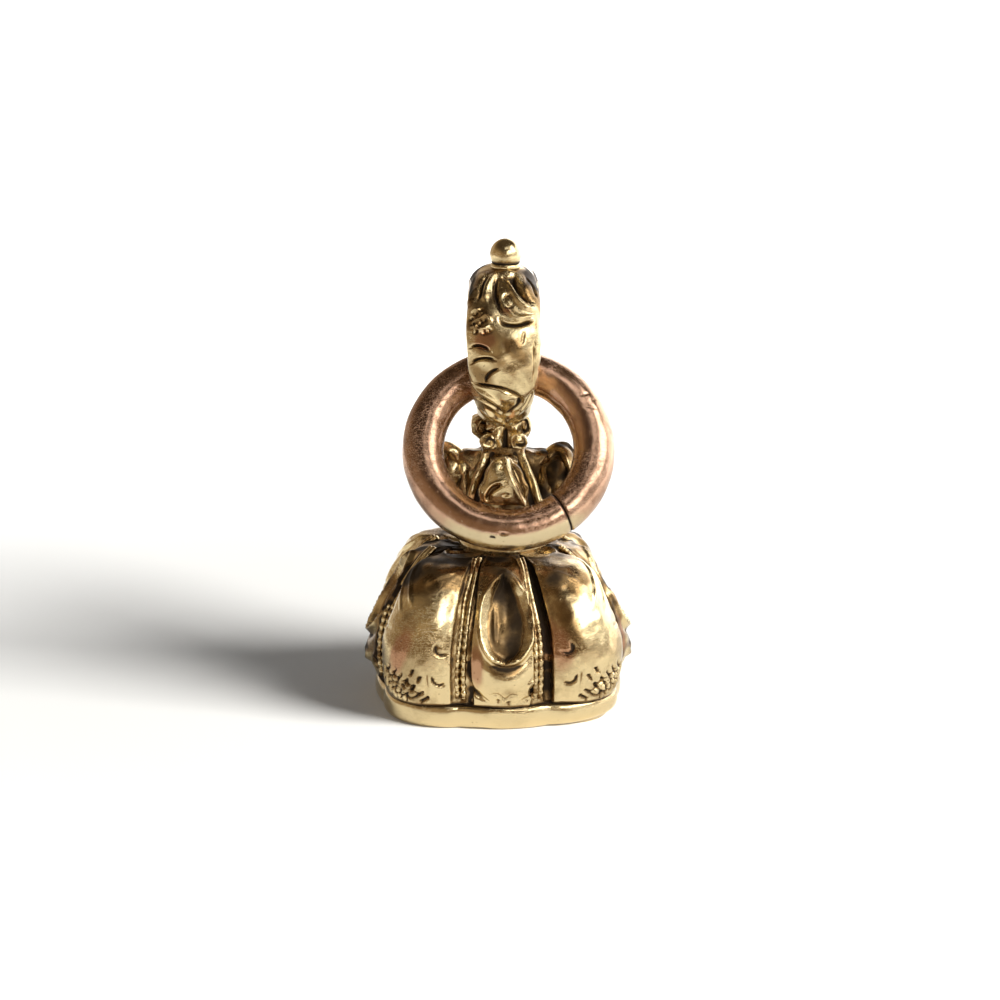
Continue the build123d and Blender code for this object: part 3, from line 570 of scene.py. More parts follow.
def body_grid():
    """The lobed body: rows run from the top pole down the outside to the pole under it, columns run round.
    Reach at each angle is the outline through crests and grooves, and relief moves each point along its
    normal."""
    cols = 680
    outer = curve(BODY_TABLE, 132)
    share = np.linspace(0.35, 1, 7)[:-1]
    head = outer[0] * share[:, None]
    head[:, 0] = np.interp(share, [0.35, 0.7, 1], [8.36, 8.4, BODY_TOP])
    foot = outer[-1] * np.array([[0.97], [0.8], [0.4]])
    foot[:, 0] = BODY_BASE + 0.02
    rows = np.vstack([head, outer, foot])
    Z = np.repeat(rows[:, :1], cols, axis=1)
    T = np.repeat(round_angles(cols)[None], len(rows), axis=0)
    reach = lobed_reach(T, rows[:, 1:2], rows[:, 2:3], rows[:, 3:4])
    P = on_circle(reach, T, Z)
    h, patina_and_shade, rose = np.zeros((3,) + Z.shape)
    for k in range(4):
        x = sideways(reach, T, k * QUARTER)
        lobe = face_lobe_relief(np.where(np.abs(x) < 3.2, x, FAR), Z)
        h += lobe
        # The hollow holds patina; the share that grows across it, darkest at its right side on the front lobe,
        # is painted shade on that wall.
        hollow = 0.66 + 0.22 * smooth(x, -0.2, 0.7) + 0.1 * wobble(P, 1.7, k)
        patina_and_shade += hollow * smooth(-lobe, 0.14, 0.45) + smooth(-lobe, 0.07, 0.17) * (Z < 3.6)
        patina_and_shade += blobs(x, Z, FACE_STAINS_AND_SHADOW)
        rose += blob(x, Z, -1.45, 3.5, 0.34, 1.2, 1.1)
        if k % 2 == 0:
            h += blob(x, Z, 0, 2.35, 0.62, 0.36, 0.3)
            h -= stroke(x, Z, [(-0.5, 2.75), (0.0, 2.45), (0.5, 2.75)], 0.1, 0.12)
            patina_and_shade += blob(x, Z, 0, 2.85, 0.9, 0.2, 1.0)
        x = sideways(reach, T, (k + 0.5) * QUARTER)
        way = -1 if k % 2 else 1
        lobe = corner_lobe_relief(way * np.where(np.abs(x) < 3.6, x, FAR), Z)
        h += lobe
        patina_and_shade += smooth(-lobe, 0.05, 0.13) + blobs(x, Z, CORNER_STAINS_AND_REFLECTIONS)
        rose += blob(x, Z, -2.3, 4.4, 0.4, 1.4, 0.9)
        if way > 0:
            rose += blob(x, Z, 0.15, 4.1, 0.55, 1.35, 1.15, -0.3)
    for k in range(8):
        sign, line = groove_line(k)
        d = sideways(reach, T, line) / np.interp(Z, [1.2, 3.0, 6.0, 8.7], [1.15, 1.05, 0.95, 0.5])
        patchy = (1 + 0.45 * wobble(P, 0.6, k)) * (1 - 0.45 * smooth(Z, 6.8, 8.0))
        strip, wires, face_edge, corner_edge = GROOVE_PLACES[sign]
        h += 0.09 * hump(d, face_edge, 0.14) + 0.07 * hump(d, corner_edge, 0.13)
        h -= 0.2 * hump(d, strip, 0.18, 4) + 0.08 * hump(d, wires, 0.07)
        # The dark strip, and the broad darkening across the groove, are painted shade on its shaded side over
        # patina.
        patina_and_shade += patchy * (0.9 * hump(d, strip, 0.14, 4) + 0.6 * hump(d, wires, 0.06))
        patina_and_shade += patchy * 0.42 * hump(d, 0.5 * (strip + wires), 0.4, 4)
        if k in SIDE_GROOVES:
            # A wider dark band on the side lobe's side of these grooves: painted shade and painted dark
            # reflection of the groove's wall.
            patina_and_shade += (0.65 + 0.3 * wobble(P, 1.1, k)) * hump(d, -0.7 * sign, 0.62, 4)
            h -= 0.22 * hump(d, 0.8 * sign, 0.6, 4) * smooth(Z, 1.5, 2.5)
    patina_and_shade += smooth(Z, 8.45, BODY_TOP) * 0.25 + smooth(-Z, -1.42, -1.28) * 0.8
    # Darker over the lobes' upper parts, and more over the front left corner lobe's top: painted dark
    # reflection of the room overhead, over patchy browning.
    patina_and_shade += smooth(Z, 6.4, 7.9) * (0.3 + 0.24 * wobble(P, 1.6, 9.0))
    patina_and_shade += 0.4 * smooth(Z, 6.2, 7.6) * hump(T, -2.25, 0.55)
    h *= smooth(Z, BODY_BASE, 1.42) * smooth(-Z, -BODY_TOP, -8.6)
    P = raised(P, h + 0.04 * wobble(P, 2.9) + 0.012 * wobble(P, 1.0, 3.0))
    P[..., 2] -= 0.3 * smooth(Z, 8.1, BODY_TOP)
    P[..., 0] = np.clip(P[..., 0], -BODY_LIMIT, BODY_LIMIT)
    return P, patina_and_shade, rose


def rib_grids():
    """Two thin wires side by side in each groove, beaded over their lower half. Each runs up the groove at a
    small sideways distance from its line, which narrows towards the top."""
    around = 12
    line = curve(BODY_TABLE[1:], 230)
    line = line[line[:, 0] > 1.5]
    z = line[:, 0]
    along = lengths(line)
    grids = []
    for k in range(8):
        sign, base = groove_line(k)
        beads = FULL_TURN * along / BEAD_PITCH + k
        for place, thick in zip(WIRE_PLACES[sign], (0.135, 0.15)):
            off = place * np.interp(z, [1.4, 5.0, 8.6], [1.1, 1.0, 0.6])
            angle = base + off / line[:, 3] + 0.005 * np.sin(along * 1.3 + k)
            path = on_circle(lobed_reach(angle, line[:, 1], line[:, 2], line[:, 3]) + 0.02, angle, z)
            P = tube(path, thick + 0.026 * np.sin(beads) * smooth(-z, -6.2, -5.0), around)
            patina_and_shade = 0.2 + 0.3 * wobble(path, 1.1, k) + 0.1 * np.sin(beads + 3)
            grids.append((P, np.repeat(patina_and_shade[:, None], around, axis=1)))
    return grids


def square_reach(theta, half, corner):
    """The reach of a square outline with round corners at each angle, from a few steps along each direction."""
    reach = half / np.maximum(np.abs(np.cos(theta)), np.abs(np.sin(theta)))
    for _ in range(12):
        x = np.abs(reach * np.cos(theta)) - (half - corner)
        y = np.abs(reach * np.sin(theta)) - (half - corner)
        past = np.hypot(np.maximum(x, 0), np.maximum(y, 0)) + np.minimum(np.maximum(x, y), 0) - corner
        reach = reach - past
    return reach


def rim_grid():
    """The foot band: the wavy outline at each height, rounded at its lower edge and folded in under the foot
    to the stone's seat."""
    cols = 560
    theta = round_angles(cols)
    side = [(1.25, 0.34), (1.17, 0.1), (0.95, 0.0), (0.55, -0.02), (0.25, 0.03), (0.07, 0.14), (0.0, 0.32)]
    side = curve(side, 26)
    T = np.repeat(theta[None], len(side), axis=0)
    Z = np.repeat(side[:, :1], cols, axis=1)
    draw = side[:, 1:2]
    face = 6.66 - draw
    P = on_circle(lobed_reach(T, face, 7.42 - draw, GROOVE_SHARE * face - 0.22), T, Z)
    P = raised(P, 0.03 * wobble(P, 2.2, 7.0) * smooth(Z, 0.05, 0.3))
    lifted = 0.21 * hump(theta, -0.72, 0.42) + 0.05 * hump(theta, -1.78, 0.1) + 0.04 * hump(theta, 2.4, 0.5)
    P[..., 2] += lifted[None] * smooth(-Z, -0.9, -0.3)
    lip = on_circle(square_reach(theta, SEAT_HALF, SEAT_CORNER), theta, 0.0)
    inner = []
    for share, z in ((0.5, 0.0), (0.97, 0.0), (1.0, 0.02), (1.0, 1.2)):
        low = P[-1] * (1 - share) + lip * share
        low[:, 2] = z
        inner.append(low)
    ring = np.concatenate([P, inner], axis=0)
    patina_and_shade = np.full(ring.shape[:2], -0.3)
    patina_and_shade[:4] = 0.8
    patina_and_shade[4:7] = 0.2
    patina_and_shade[-3:-1] = 0.8
    return ring, patina_and_shade


# The handle

def rounded(wave, power):
    """A sine or cosine whose sign stays and whose size is raised to a power, for the section of an oval."""
    return np.sign(wave) * np.abs(wave) ** power


LIMB_ANGLES = np.radians([-90, -72, -50, -22, 6, 34, 62, 90])
LIMB_WIDTH = 1.97 * np.array([0.68, 0.7, 0.77, 0.91, 0.98, 1, 0.94, 0.8])
LIMB_THICK = LIMB_HALF * np.array([1, 1, 1, 1, 1, 1, 1, 1.06])
LIMB_LINES = (
    (0.2, 0.2, [(-0.2, 1.35), (-0.6, 2.0), (-0.92, 2.75), (-0.98, 3.3), (-0.8, 3.75)]),
    (0.12, -0.26, [(-0.18, 1.3), (-0.4, 2.0), (-0.47, 2.7), (-0.44, 3.2), (-0.25, 3.9), (0.0, 4.6)]),
    (0.12, -0.2, [(-0.8, 1.4), (-1.12, 2.3), (-1.22, 3.0), (-1.5, 3.6)]),
    (0.16, 0.1, [(-1.3, 2.3), (-1.7, 3.0), (-1.75, 3.6)]),
    (0.14, -0.34, [(0.55, 1.4), (0.5, 2.2), (0.78, 2.95), (1.18, 3.4), (1.6, 3.45)]),
    (0.08, -0.14, [(1.15, 1.5), (1.5, 2.4), (1.72, 3.1)]),
    (0.19, 0.22, [(0.25, 2.15), (0.42, 2.95), (0.78, 3.6), (1.3, 3.95), (1.7, 3.7)]),
    (0.14, 0.12, [(0.05, 2.6), (-0.05, 3.3), (0.3, 4.2), (0.85, 4.55), (1.6, 4.25)]),
    (0.09, -0.2, [(0.5, 3.5), (0.2, 3.2), (0.0, 3.55), (0.25, 3.95), (0.5, 3.75)]),
    (0.09, -0.26, [(-0.35, 4.4), (0.0, 4.85), (0.55, 4.95), (1.05, 4.85), (1.6, 4.55)]),
    (0.1, -0.2, [(-0.15, 1.75), (0.15, 1.95), (0.45, 1.8)]),
    (0.07, 0.13, [(-1.75, 4.15), (-1.45, 3.95), (-1.2, 4.2), (-1.25, 4.5)]),
    (0.07, 0.13, [(-1.6, 4.6), (-1.25, 4.55), (-0.95, 4.35), (-0.7, 4.6), (-0.75, 4.9)]),
    (0.07, 0.13, [(-0.75, 4.9), (-1.0, 5.1), (-1.25, 5.05), (-1.2, 5.35)]),
    (0.07, 0.13, [(-1.75, 5.0), (-1.5, 4.9), (-1.4, 5.2)]),
    (0.075, -0.2, [(-1.85, 6.2), (-1.45, 6.02), (-1.0, 6.12), (-0.7, 6.35)]),
    (0.07, -0.19, [(-1.8, 7.2), (-1.5, 6.85), (-1.05, 6.7), (-0.6, 6.72), (-0.4, 6.85)]),
    (0.075, -0.2, [(-0.2, 7.2), (-0.6, 7.4), (-0.9, 7.75), (-1.0, 8.2)]),
    (0.085, -0.26, [(-1.75, 8.3), (-1.1, 8.25), (-0.4, 8.3), (0.15, 8.45), (0.65, 8.8), (1.05, 9.3)]),
    (0.14, 0.16, [(-1.6, 8.55), (-1.0, 8.75), (-0.4, 9.2), (0.0, 9.75)]),
    (0.1, -0.26, [(-1.5, 9.4), (-1.2, 9.25), (-0.8, 9.4), (-0.35, 9.8), (0.0, 10.5)]),
    (0.12, -0.24, [(0.75, 8.9), (0.8, 9.5), (0.4, 10.0), (0.05, 10.6)]),
    (0.09, -0.14, [(0.8, 10.3), (1.2, 9.6), (1.55, 8.7)]),
    (0.1, -0.2, [(-1.4, 10.2), (-0.95, 10.8), (-0.4, 11.4)]),
    (0.17, 0.18, [(-1.1, 9.9), (-0.5, 10.6), (0.1, 11.4), (0.7, 12.2)]),
    (0.17, 0.18, [(1.1, 9.9), (0.5, 10.6), (0.0, 11.3), (-0.7, 12.2)]),
    (0.07, -0.12, [(1.55, 5.4), (1.6, 6.3), (1.62, 7.3), (1.5, 8.4)]),
    (0.05, -0.06, [(1.05, 5.2), (0.98, 5.7), (0.95, 6.0)]),
)
LIMB_BUMPS = ((1.1, 2.75, 0.34, 0.62, 0.2, 0.25), (0.2, 1.45, 0.34, 0.25, 0.14),
              (0.08, 8.95, 0.36, 0.4, 0.22, -0.5))
LIMB_PITS = ((-1.45, 4.2), (-1.15, 4.75), (-1.6, 4.8), (-0.95, 4.65), (-1.45, 5.25), (-1.0, 5.3),
             (-1.7, 4.45), (-1.3, 4.95), (-0.75, 5.2), (-1.2, 4.05))
LIMB_STAINS = ((-1.3, 4.7, 0.55, 0.75, 0.5), (0.1, 6.1, 1.1, 1.3, 0.3), (-1.2, 7.6, 0.7, 1.4, 0.28))
LIMB_ROSE = ((-1.0, 5.72, 0.6, 0.5, 1.25), (0.1, 4.2, 0.3, 0.3, 0.8))


def limb_relief(x, s):
    """The carved front of a limb on its chart: petals and a volute below the crown, a punched patch, struck
    crescents, and crossing folds at the foot."""
    h = strokes(x, s, LIMB_LINES) + blobs(x, s, LIMB_BUMPS) + pits(x, s, LIMB_PITS, 0.1, 0.17)
    hammered = smooth(s, 5.6, 6.2) * smooth(-s, -8.2, -7.4) * smooth(x, -0.7, -0.2)
    return h + 0.05 * np.sin(4.2 * x + 1.3 * s) * np.sin(3.1 * s - 2.0 * x) * hammered


def limb_grid(sign):
    """One limb of the bow, as in the CAD: a half circle in the YZ plane with an oval section, and relief cut
    into its outer side. Its chart is the sideways distance x and the length s from the crown, and front is 1
    on the outer side."""
    rows, cols = 420, 150
    turn = np.linspace(QUARTER, -QUARTER, rows)
    width = np.interp(turn, LIMB_ANGLES, LIMB_WIDTH)
    width = np.convolve(np.pad(width, 15, mode="edge"), np.ones(31) / 31, mode="valid")
    thick = np.interp(turn, LIMB_ANGLES, LIMB_THICK)
    psi = round_angles(cols, 0.0)
    out = BOW_MIDDLE + thick[:, None] * rounded(np.cos(psi), 0.9)
    X = width[:, None] * rounded(np.sin(psi), 0.86)
    P = np.stack([X, -sign * out * np.cos(turn)[:, None], BOW_CENTRE + out * np.sin(turn)[:, None]], axis=-1)
    x = sign * X
    s = np.repeat(((BOW_MIDDLE + LIMB_HALF) * (QUARTER - turn))[:, None], cols, axis=1)
    front = np.repeat(smooth(np.cos(psi), -0.15, 0.25)[None], rows, axis=0)
    carved = limb_relief(x, s) * front
    patina_and_shade = smooth(-carved, 0.07, 0.2) * 1.15 + 0.1 + 0.2 * wobble(P, 1.3, 5.0)
    patina_and_shade += front * blobs(x, s, LIMB_STAINS) + smooth(s, 11.6, 12.6) * 0.35
    # Darker over the crown, most along the crown's edges: painted dark reflection of the room, over patina.
    edge = 0.8 * smooth(np.abs(x + 0.2) / 1.9, 0.52, 0.8) * (0.3 + 0.7 * front)
    patina_and_shade += smooth(-s, -4.6, -1.5) * (edge + 0.15 + 0.15 * wobble(P, 1.0, 8.0))
    patina_and_shade += 0.35 * smooth(-out, -2.9, -2.6)
    h = carved + (0.008 + 0.022 * front) * wobble(P, 1.7, 1.0) - 0.035 * (1 - front)
    h = np.minimum(h * smooth(np.abs(P[..., 1]), 0.0, 0.25), 0.24)
    return to_row(raised(P, h)), patina_and_shade, front * blobs(x, s, LIMB_ROSE)


# The plate that fills a leaf's curl, and the roll in the curl of a side leaf: outlines as reach and height
LEAF_WEB = [(0.9, 13.6), (1.6, 13.58), (2.3, 13.54), (2.42, 13.3), (2.42, 12.5), (2.42, 11.9), (2.3, 11.78),
            (1.2, 11.8), (0.9, 11.9), (0.9, 12.8)]
LEAF_ROLL = [(2.3, 12.95), (2.7, 13.35), (3.15, 13.3), (3.42, 12.6), (3.42, 11.8), (3.1, 11.25),
             (2.5, 11.25), (2.2, 12.1)]
WEB_HALF = 0.72
ROLL_HALF = 1.0
# A leaf's spine as reach and height, and its shares of the full width and thickness there
SIDE_LEAF = [(2.05, 10.0), (2.226, 11.49), (2.432, 12.7), (2.785, 13.48), (3.226, 13.41), (3.52, 12.49),
             (3.49, 11.49)]
FRONT_LEAF = [(2.05, 10.0), (2.296, 11.49), (2.583, 12.7), (3.075, 13.48), (3.69, 13.41), (4.1, 12.49),
              (4.059, 11.49)]
LEAF_WIDTH = (0.8, 0.82, 0.62, 0.36, 0.66, 1.0, 0.86)
LEAF_THICK = (1.3, 1.6, 1.6, 1.05, 0.95, 0.9, 0.6)
LEAF_CURL = [(0.1, 6.4), (-0.3, 6.45), (-0.7, 6.65), (-1.0, 7.2), (-1.02, 7.7)]
UNDER_CURL = [(0.0, 6.62), (-0.35, 6.7), (-0.68, 6.92), (-0.86, 7.3), (-0.86, 7.8)]
LEAF_VEINS = ((0.1, -0.13, [(-0.35, 3.2), (-0.6, 4.0), (-0.95, 4.6)]),
              (0.1, -0.13, [(0.35, 3.0), (0.6, 3.8), (0.95, 4.3)]))


def leaf_grid(points, turn, seed, dark=0.0):
    """A scrolled leaf along its CAD spine: a bar of oval section, whose edges are notched into lobes, with a
    raised midrib, a curl and veins on its outside. N points away from the middle of the leaf's curl, and the
    chart is the sideways distance X and s, which runs from 0 to 8 along the spine."""
    rows, cols = 210, 96
    spine = curve([(r, z, w, t) for (r, z), w, t in zip(points, LEAF_WIDTH, LEAF_THICK)], rows)
    path = np.stack([np.zeros(rows), -spine[:, 0], spine[:, 1]], axis=1)
    T = np.gradient(path, axis=0)
    T /= np.linalg.norm(T, axis=1, keepdims=True)
    N = np.stack([np.zeros(rows), T[:, 2], -T[:, 1]], axis=1)
    u = np.linspace(0, 1, rows)
    ends = np.sqrt(np.clip(1 - (2 * np.maximum(u - 0.955, 0) / 0.09) ** 2, 0.02, 1))
    notch = 1 - 0.08 * np.abs(np.sin(math.pi * 4.5 * u)) ** 6 * smooth(u, 0.1, 0.25)
    width = (1.32 * spine[:, 2] * ends * notch)[:, None]
    thick = (0.42 * spine[:, 3] * ends)[:, None]
    psi = round_angles(cols, 0.0)
    across, up = rounded(np.cos(psi), 0.9), rounded(np.sin(psi), 0.9)
    X = width * across
    P = path[:, None] + (thick * (up + 0.1 * across ** 2))[..., None] * N[:, None]
    P[..., 0] += X
    outer = smooth(up, -0.1, 0.3)[None]
    s = np.repeat(8.0 * u[:, None], cols, axis=1)
    crest = np.interp(s, [4.9, 5.5, 6.4, 7.4, 8.0], [0.0, 0.1, 0.42, 0.88, 1.1])
    low = smooth(s, 4.7, 5.3)
    sides = 0.3 * smooth(X - crest, 0.08, 0.5) + 0.1 * smooth(crest - X, 0.5, 1.2)
    h = low * (0.17 * hump(X, crest, 0.12) - sides)
    h += stroke(X, s, LEAF_CURL, 0.09, 0.1, count=18) + stroke(X, s, UNDER_CURL, 0.13, -0.26, count=18)
    h += pits(X, s, [(0.12, 7.15), (-0.06, 5.4), (-0.1, 5.65)], 0.09, 0.16) + strokes(X, s, LEAF_VEINS)
    h *= outer
    # Besides patina in the cut lines, the leaf is painted darker beside its crest and on its inner side as
    # shade, darker towards its foot, and dark adds painted shade in the curl.
    patina_and_shade = smooth(-h, 0.1, 0.22) * (X < crest + 0.05) + 0.5 * low * smooth(X - crest, 0.1, 0.4)
    patina_and_shade += 0.5 * (1 - outer) + (0.4 + 0.3 * wobble(P, 1.0, seed + 4)) * smooth(-u, -0.42, -0.2)[:, None]
    patina_and_shade = 0.65 * patina_and_shade + dark * (0.9 + 0.5 * wobble(P, 1.1, seed + 2))
    return to_row(turned(raised(P, h + 0.035 * wobble(P, 1.3, seed)), turn)), patina_and_shade


def plate_grid(outline, half, turn, seed, dark):
    """A plate between the two arms of a leaf's curl: its outline in reach and height, carried sideways over its
    half width and drawn in at both faces, with uneven sides. Its dark value is painted shade inside the curl."""
    outline = curve(outline, 96, closed=True)[None]
    middle = outline.mean(axis=1, keepdims=True)
    x = np.linspace(-1, 1, 30)[:, None]
    drawn = middle + (outline - middle) * (1 - 0.16 * smooth(np.abs(x), 0.55, 1.0))[..., None]
    P = np.stack(np.broadcast_arrays(half * x, -drawn[..., 0], drawn[..., 1]), axis=-1)
    P = raised(P, 0.05 * wobble(P, 0.9, seed))
    return to_row(turned(P, turn)), dark + 0.35 * wobble(P, 1.2, seed + 3)


def calyx_grid():
    """The four sided cup round the stem: a square outline with round corners that swells and draws in, with a
    raised ridge down each corner."""
    cols = 240
    theta = round_angles(cols)
    levels = COLLAR_TOP + (CALYX_TOP - COLLAR_TOP) * np.array([0, 0.14, 0.36, 0.62, 0.84, 1.0])
    half = 2.1 * np.array([0.86, 0.97, 1, 0.82, 0.64, 0.58])
    corner = 2.1 * np.array([0.8, 0.5, 0.28, 0.24, 0.34, 0.52])
    table = curve(np.stack([levels, half, corner], axis=1), 110)
    reach = np.stack([square_reach(theta, a, min(c, 0.98 * a)) for _, a, c in table])
    P = on_circle(reach, theta, table[:, :1])
    Z = P[..., 2]
    h = np.zeros(Z.shape)
    for k in range(4):
        d = sideways(reach, theta, (k + 0.5) * QUARTER)
        h += 0.16 * hump(d, 0, 0.16) - 0.14 * hump(np.abs(d), 0.42, 0.16)
    h *= smooth(Z, 9.7, 10.4) * smooth(-Z, -13.9, -13.5)
    patina_and_shade = smooth(-h, 0.03, 0.1) + (0.35 + 0.25 * wobble(P, 1.0, 6.0)) * smooth(-Z, -10.9, -9.9)
    patina_and_shade += 0.35 * smooth(Z, 13.4, 13.75) + 0.3 * (1 - np.clip(h / 0.1, 0, 1))
    return to_row(raised(P, h + 0.04 * wobble(P, 1.1, 5.0))), patina_and_shade


def revolve_grid(profile, count, cols, centre=(0.0, 0.0)):
    """A closed turned form from a profile of radius and height, top to bottom."""
    line = curve(profile, count)
    P = on_circle(line[:, :1], round_angles(cols, 0.0), line[:, 1:])
    return P + np.array([*centre, 0.0])


# Profiles of the turned forms as radius and height, from the top down
STEM_PROFILE = [(0.2, 15.5), (1.06, 15.48), (1.16, 15.3), (1.1, 14.7), (1.1, 14.1), (1.12, 13.6),
                (1.2, 12.0), (1.3, 9.5), (0.2, 9.49)]
COLLAR_PROFILE = [(0.3, 9.46), (1.6, 9.48), (1.84, 9.46), (1.92, 9.3), (1.93, 9.14), (2.18, 8.98),
                  (2.38, 8.7), (2.4, 8.4), (2.2, 8.1), (0.3, 8.06)]
BALL_PROFILE = [(BALL_RADIUS * math.sin(t), BALL_CENTRE + BALL_RADIUS * math.cos(t))
                for t in np.linspace(0.04, 2.15, 16)] + [(0.2, 23.765)]
SEAT_PROFILE = [(0.1, 23.75), (0.66, 23.76), (0.77, 23.7), (0.8, 23.58), (0.74, 23.46), (0.8, 23.36),
                (0.92, 23.2), (0.9, 23.0), (0.1, 22.96)]


def stem_grid():
    """The stem: a turned core whose front and back carry a raised bud, folds that run down from the bow's
    foot, and a deep split between."""
    P = revolve_grid(STEM_PROFILE, 150, 180)
    z = P[..., 2]
    h = np.zeros(z.shape)
    patina_and_shade = np.full(z.shape, 0.25)
    for side in (1, -1):
        x = np.where(P[..., 1] * side < 0, P[..., 0] * side, FAR)
        bud = blob(x, z, -0.3, 14.45, 0.26, 0.5, 0.36)
        bud += strokes(x, z, [(0.14, 0.16, [(0.2, 15.4), (0.5, 15.0), (0.72, 14.8)]),
                              (0.13, 0.14, [(-0.15, 15.4), (-0.6, 15.05), (-0.95, 14.75)])])
        split = stroke(x, z, [(0.12, 15.1), (0.1, 14.5), (0.06, 13.7)], 0.13, 0.2)
        h += bud - split
        patina_and_shade += 1.2 * smooth(split, 0.05, 0.15) - 0.6 * smooth(bud, 0.06, 0.16)
        patina_and_shade += blobs(x, z, [(0.08, 13.85, 0.25, 0.5, 0.9), (-1.0, 14.75, 0.2, 0.2, 0.8)])
    P = raised(P, h + 0.04 * wobble(P, 0.9, 33.0) * smooth(z, 13.4, 13.9))
    return to_row(P), np.clip(patina_and_shade, 0, 1)


def scroll_grid(centre, size, length, turns, seed, deep, dark):
    """A lumpy scroll on an axis along Y: from the middle of its front end out to the edge, along the side and
    in to the middle of the back end, with a soft spiral ridge on both ends. size is its half width and half
    height."""
    psi = round_angles(96, 0.0)
    end = np.linspace(0.02, 1, 34)
    soft = 0.3 * min(size)
    half = length / 2
    face = half - soft * smooth(end, 0.5, 1.0)
    shown = smooth(-end, -0.95, -0.75)
    R = np.concatenate([end * 0.95, [1] * 8, (end * 0.95)[::-1]])[:, None]
    Y = np.concatenate([-face, np.linspace(-half + soft, half - soft, 8), face[::-1]])[:, None]
    on_face = np.concatenate([shown, np.zeros(8), shown[::-1]])[:, None]
    spiral = np.cos(psi - FULL_TURN * turns * R)
    sunk = (spiral * 0.5 - 0.5) * deep * smooth(R, 0.1, 0.4) * on_face
    P = np.stack([centre[0] + size[0] * R * np.cos(psi), centre[1] + Y + np.sign(Y) * sunk,
                  centre[2] + size[1] * R * np.sin(psi)], axis=-1)
    lumps = [wobble(P, size, seed + k) for k, size in enumerate((0.75, 0.8, 0.7))]
    P = P + 0.06 * np.stack(lumps, axis=-1)
    # dark paints shade on the scroll's end faces; the sunk spiral holds patina.
    patina_and_shade = smooth(-sunk, 0.4 * deep, 0.9 * deep) * on_face * 0.8 + dark * on_face + 0.15
    return to_row(P), patina_and_shade


RING_SCRATCHES = (
    [(1.7, 1.2), (1.9, 1.45), (2.15, 1.85)], [(2.15, 0.95), (2.3, 1.25)],
    [(2.6, 1.1), (2.7, 1.5), (2.95, 1.75)], [(3.5, 0.55), (3.65, 0.95)],
)


def ring_grid():
    """The jump ring: a round wire round a circle, from one face of its slanted seam to the other, with dents
    and scratches. A is the length along the ring and B the length round the wire, from its outermost line.
    The ring is made flat, stood up, hung from its pivot and leant to the front."""
    rows, cols = 560, 72
    gap = SEAM_GAP / RING_MIDDLE
    psi = round_angles(cols, 0.0)[None]
    u = np.linspace(0, 1, rows)[:, None]
    edge = np.minimum(u, 1 - u) * FULL_TURN * RING_MIDDLE
    wire = RING_WIRE - 0.05 * (1 - smooth(edge, 0.0, 0.12))
    out, up = np.cos(psi), np.sin(psi)
    phi = RING_SEAM + gap / 2 + u * (FULL_TURN - gap) - math.tan(SEAM_SLANT) * (wire * out) / RING_MIDDLE
    P = on_circle(RING_MIDDLE + wire * out, phi, wire * up)
    N = on_circle(out, phi, up)
    A = np.mod(phi, FULL_TURN) * RING_MIDDLE
    B = np.broadcast_to(psi * RING_WIRE, phi.shape)
    low = 0.75 * FULL_TURN * RING_MIDDLE
    h = 0.012 * wobble(P, 2.4, 2.0) + 0.005 * wobble(P, 0.8, 6.0)
    h += blobs(A, B, [(low - 0.7, 0.9, 0.3, 0.1, -0.07), (low - 0.25, 1.15, 0.22, 0.08, -0.06)])
    h += sum(stroke(A, B, line, 0.07, -0.026) for line in RING_SCRATCHES)
    h = np.minimum(h, 0.01)
    patina_and_shade = 1.2 * hump(edge, 0, 0.06) + smooth(-h, 0.03, 0.06)
    # pale: a band along the ring's lower outer side, held as its rose value and painted as a reflection of the
    # pale floor.
    pale = hump(A, low + 0.2, 3.4, 4) * smooth(-np.abs(B - 0.1), -1.2, -0.7)
    P = tipped(P + h[..., None] * N, QUARTER) - np.array([0.0, 0.0, RING_MIDDLE])
    return to_row(tipped(P, -RING_LEAN) + np.array([RING_SIDE, 0.0, RING_PIVOT])), patina_and_shade, pale


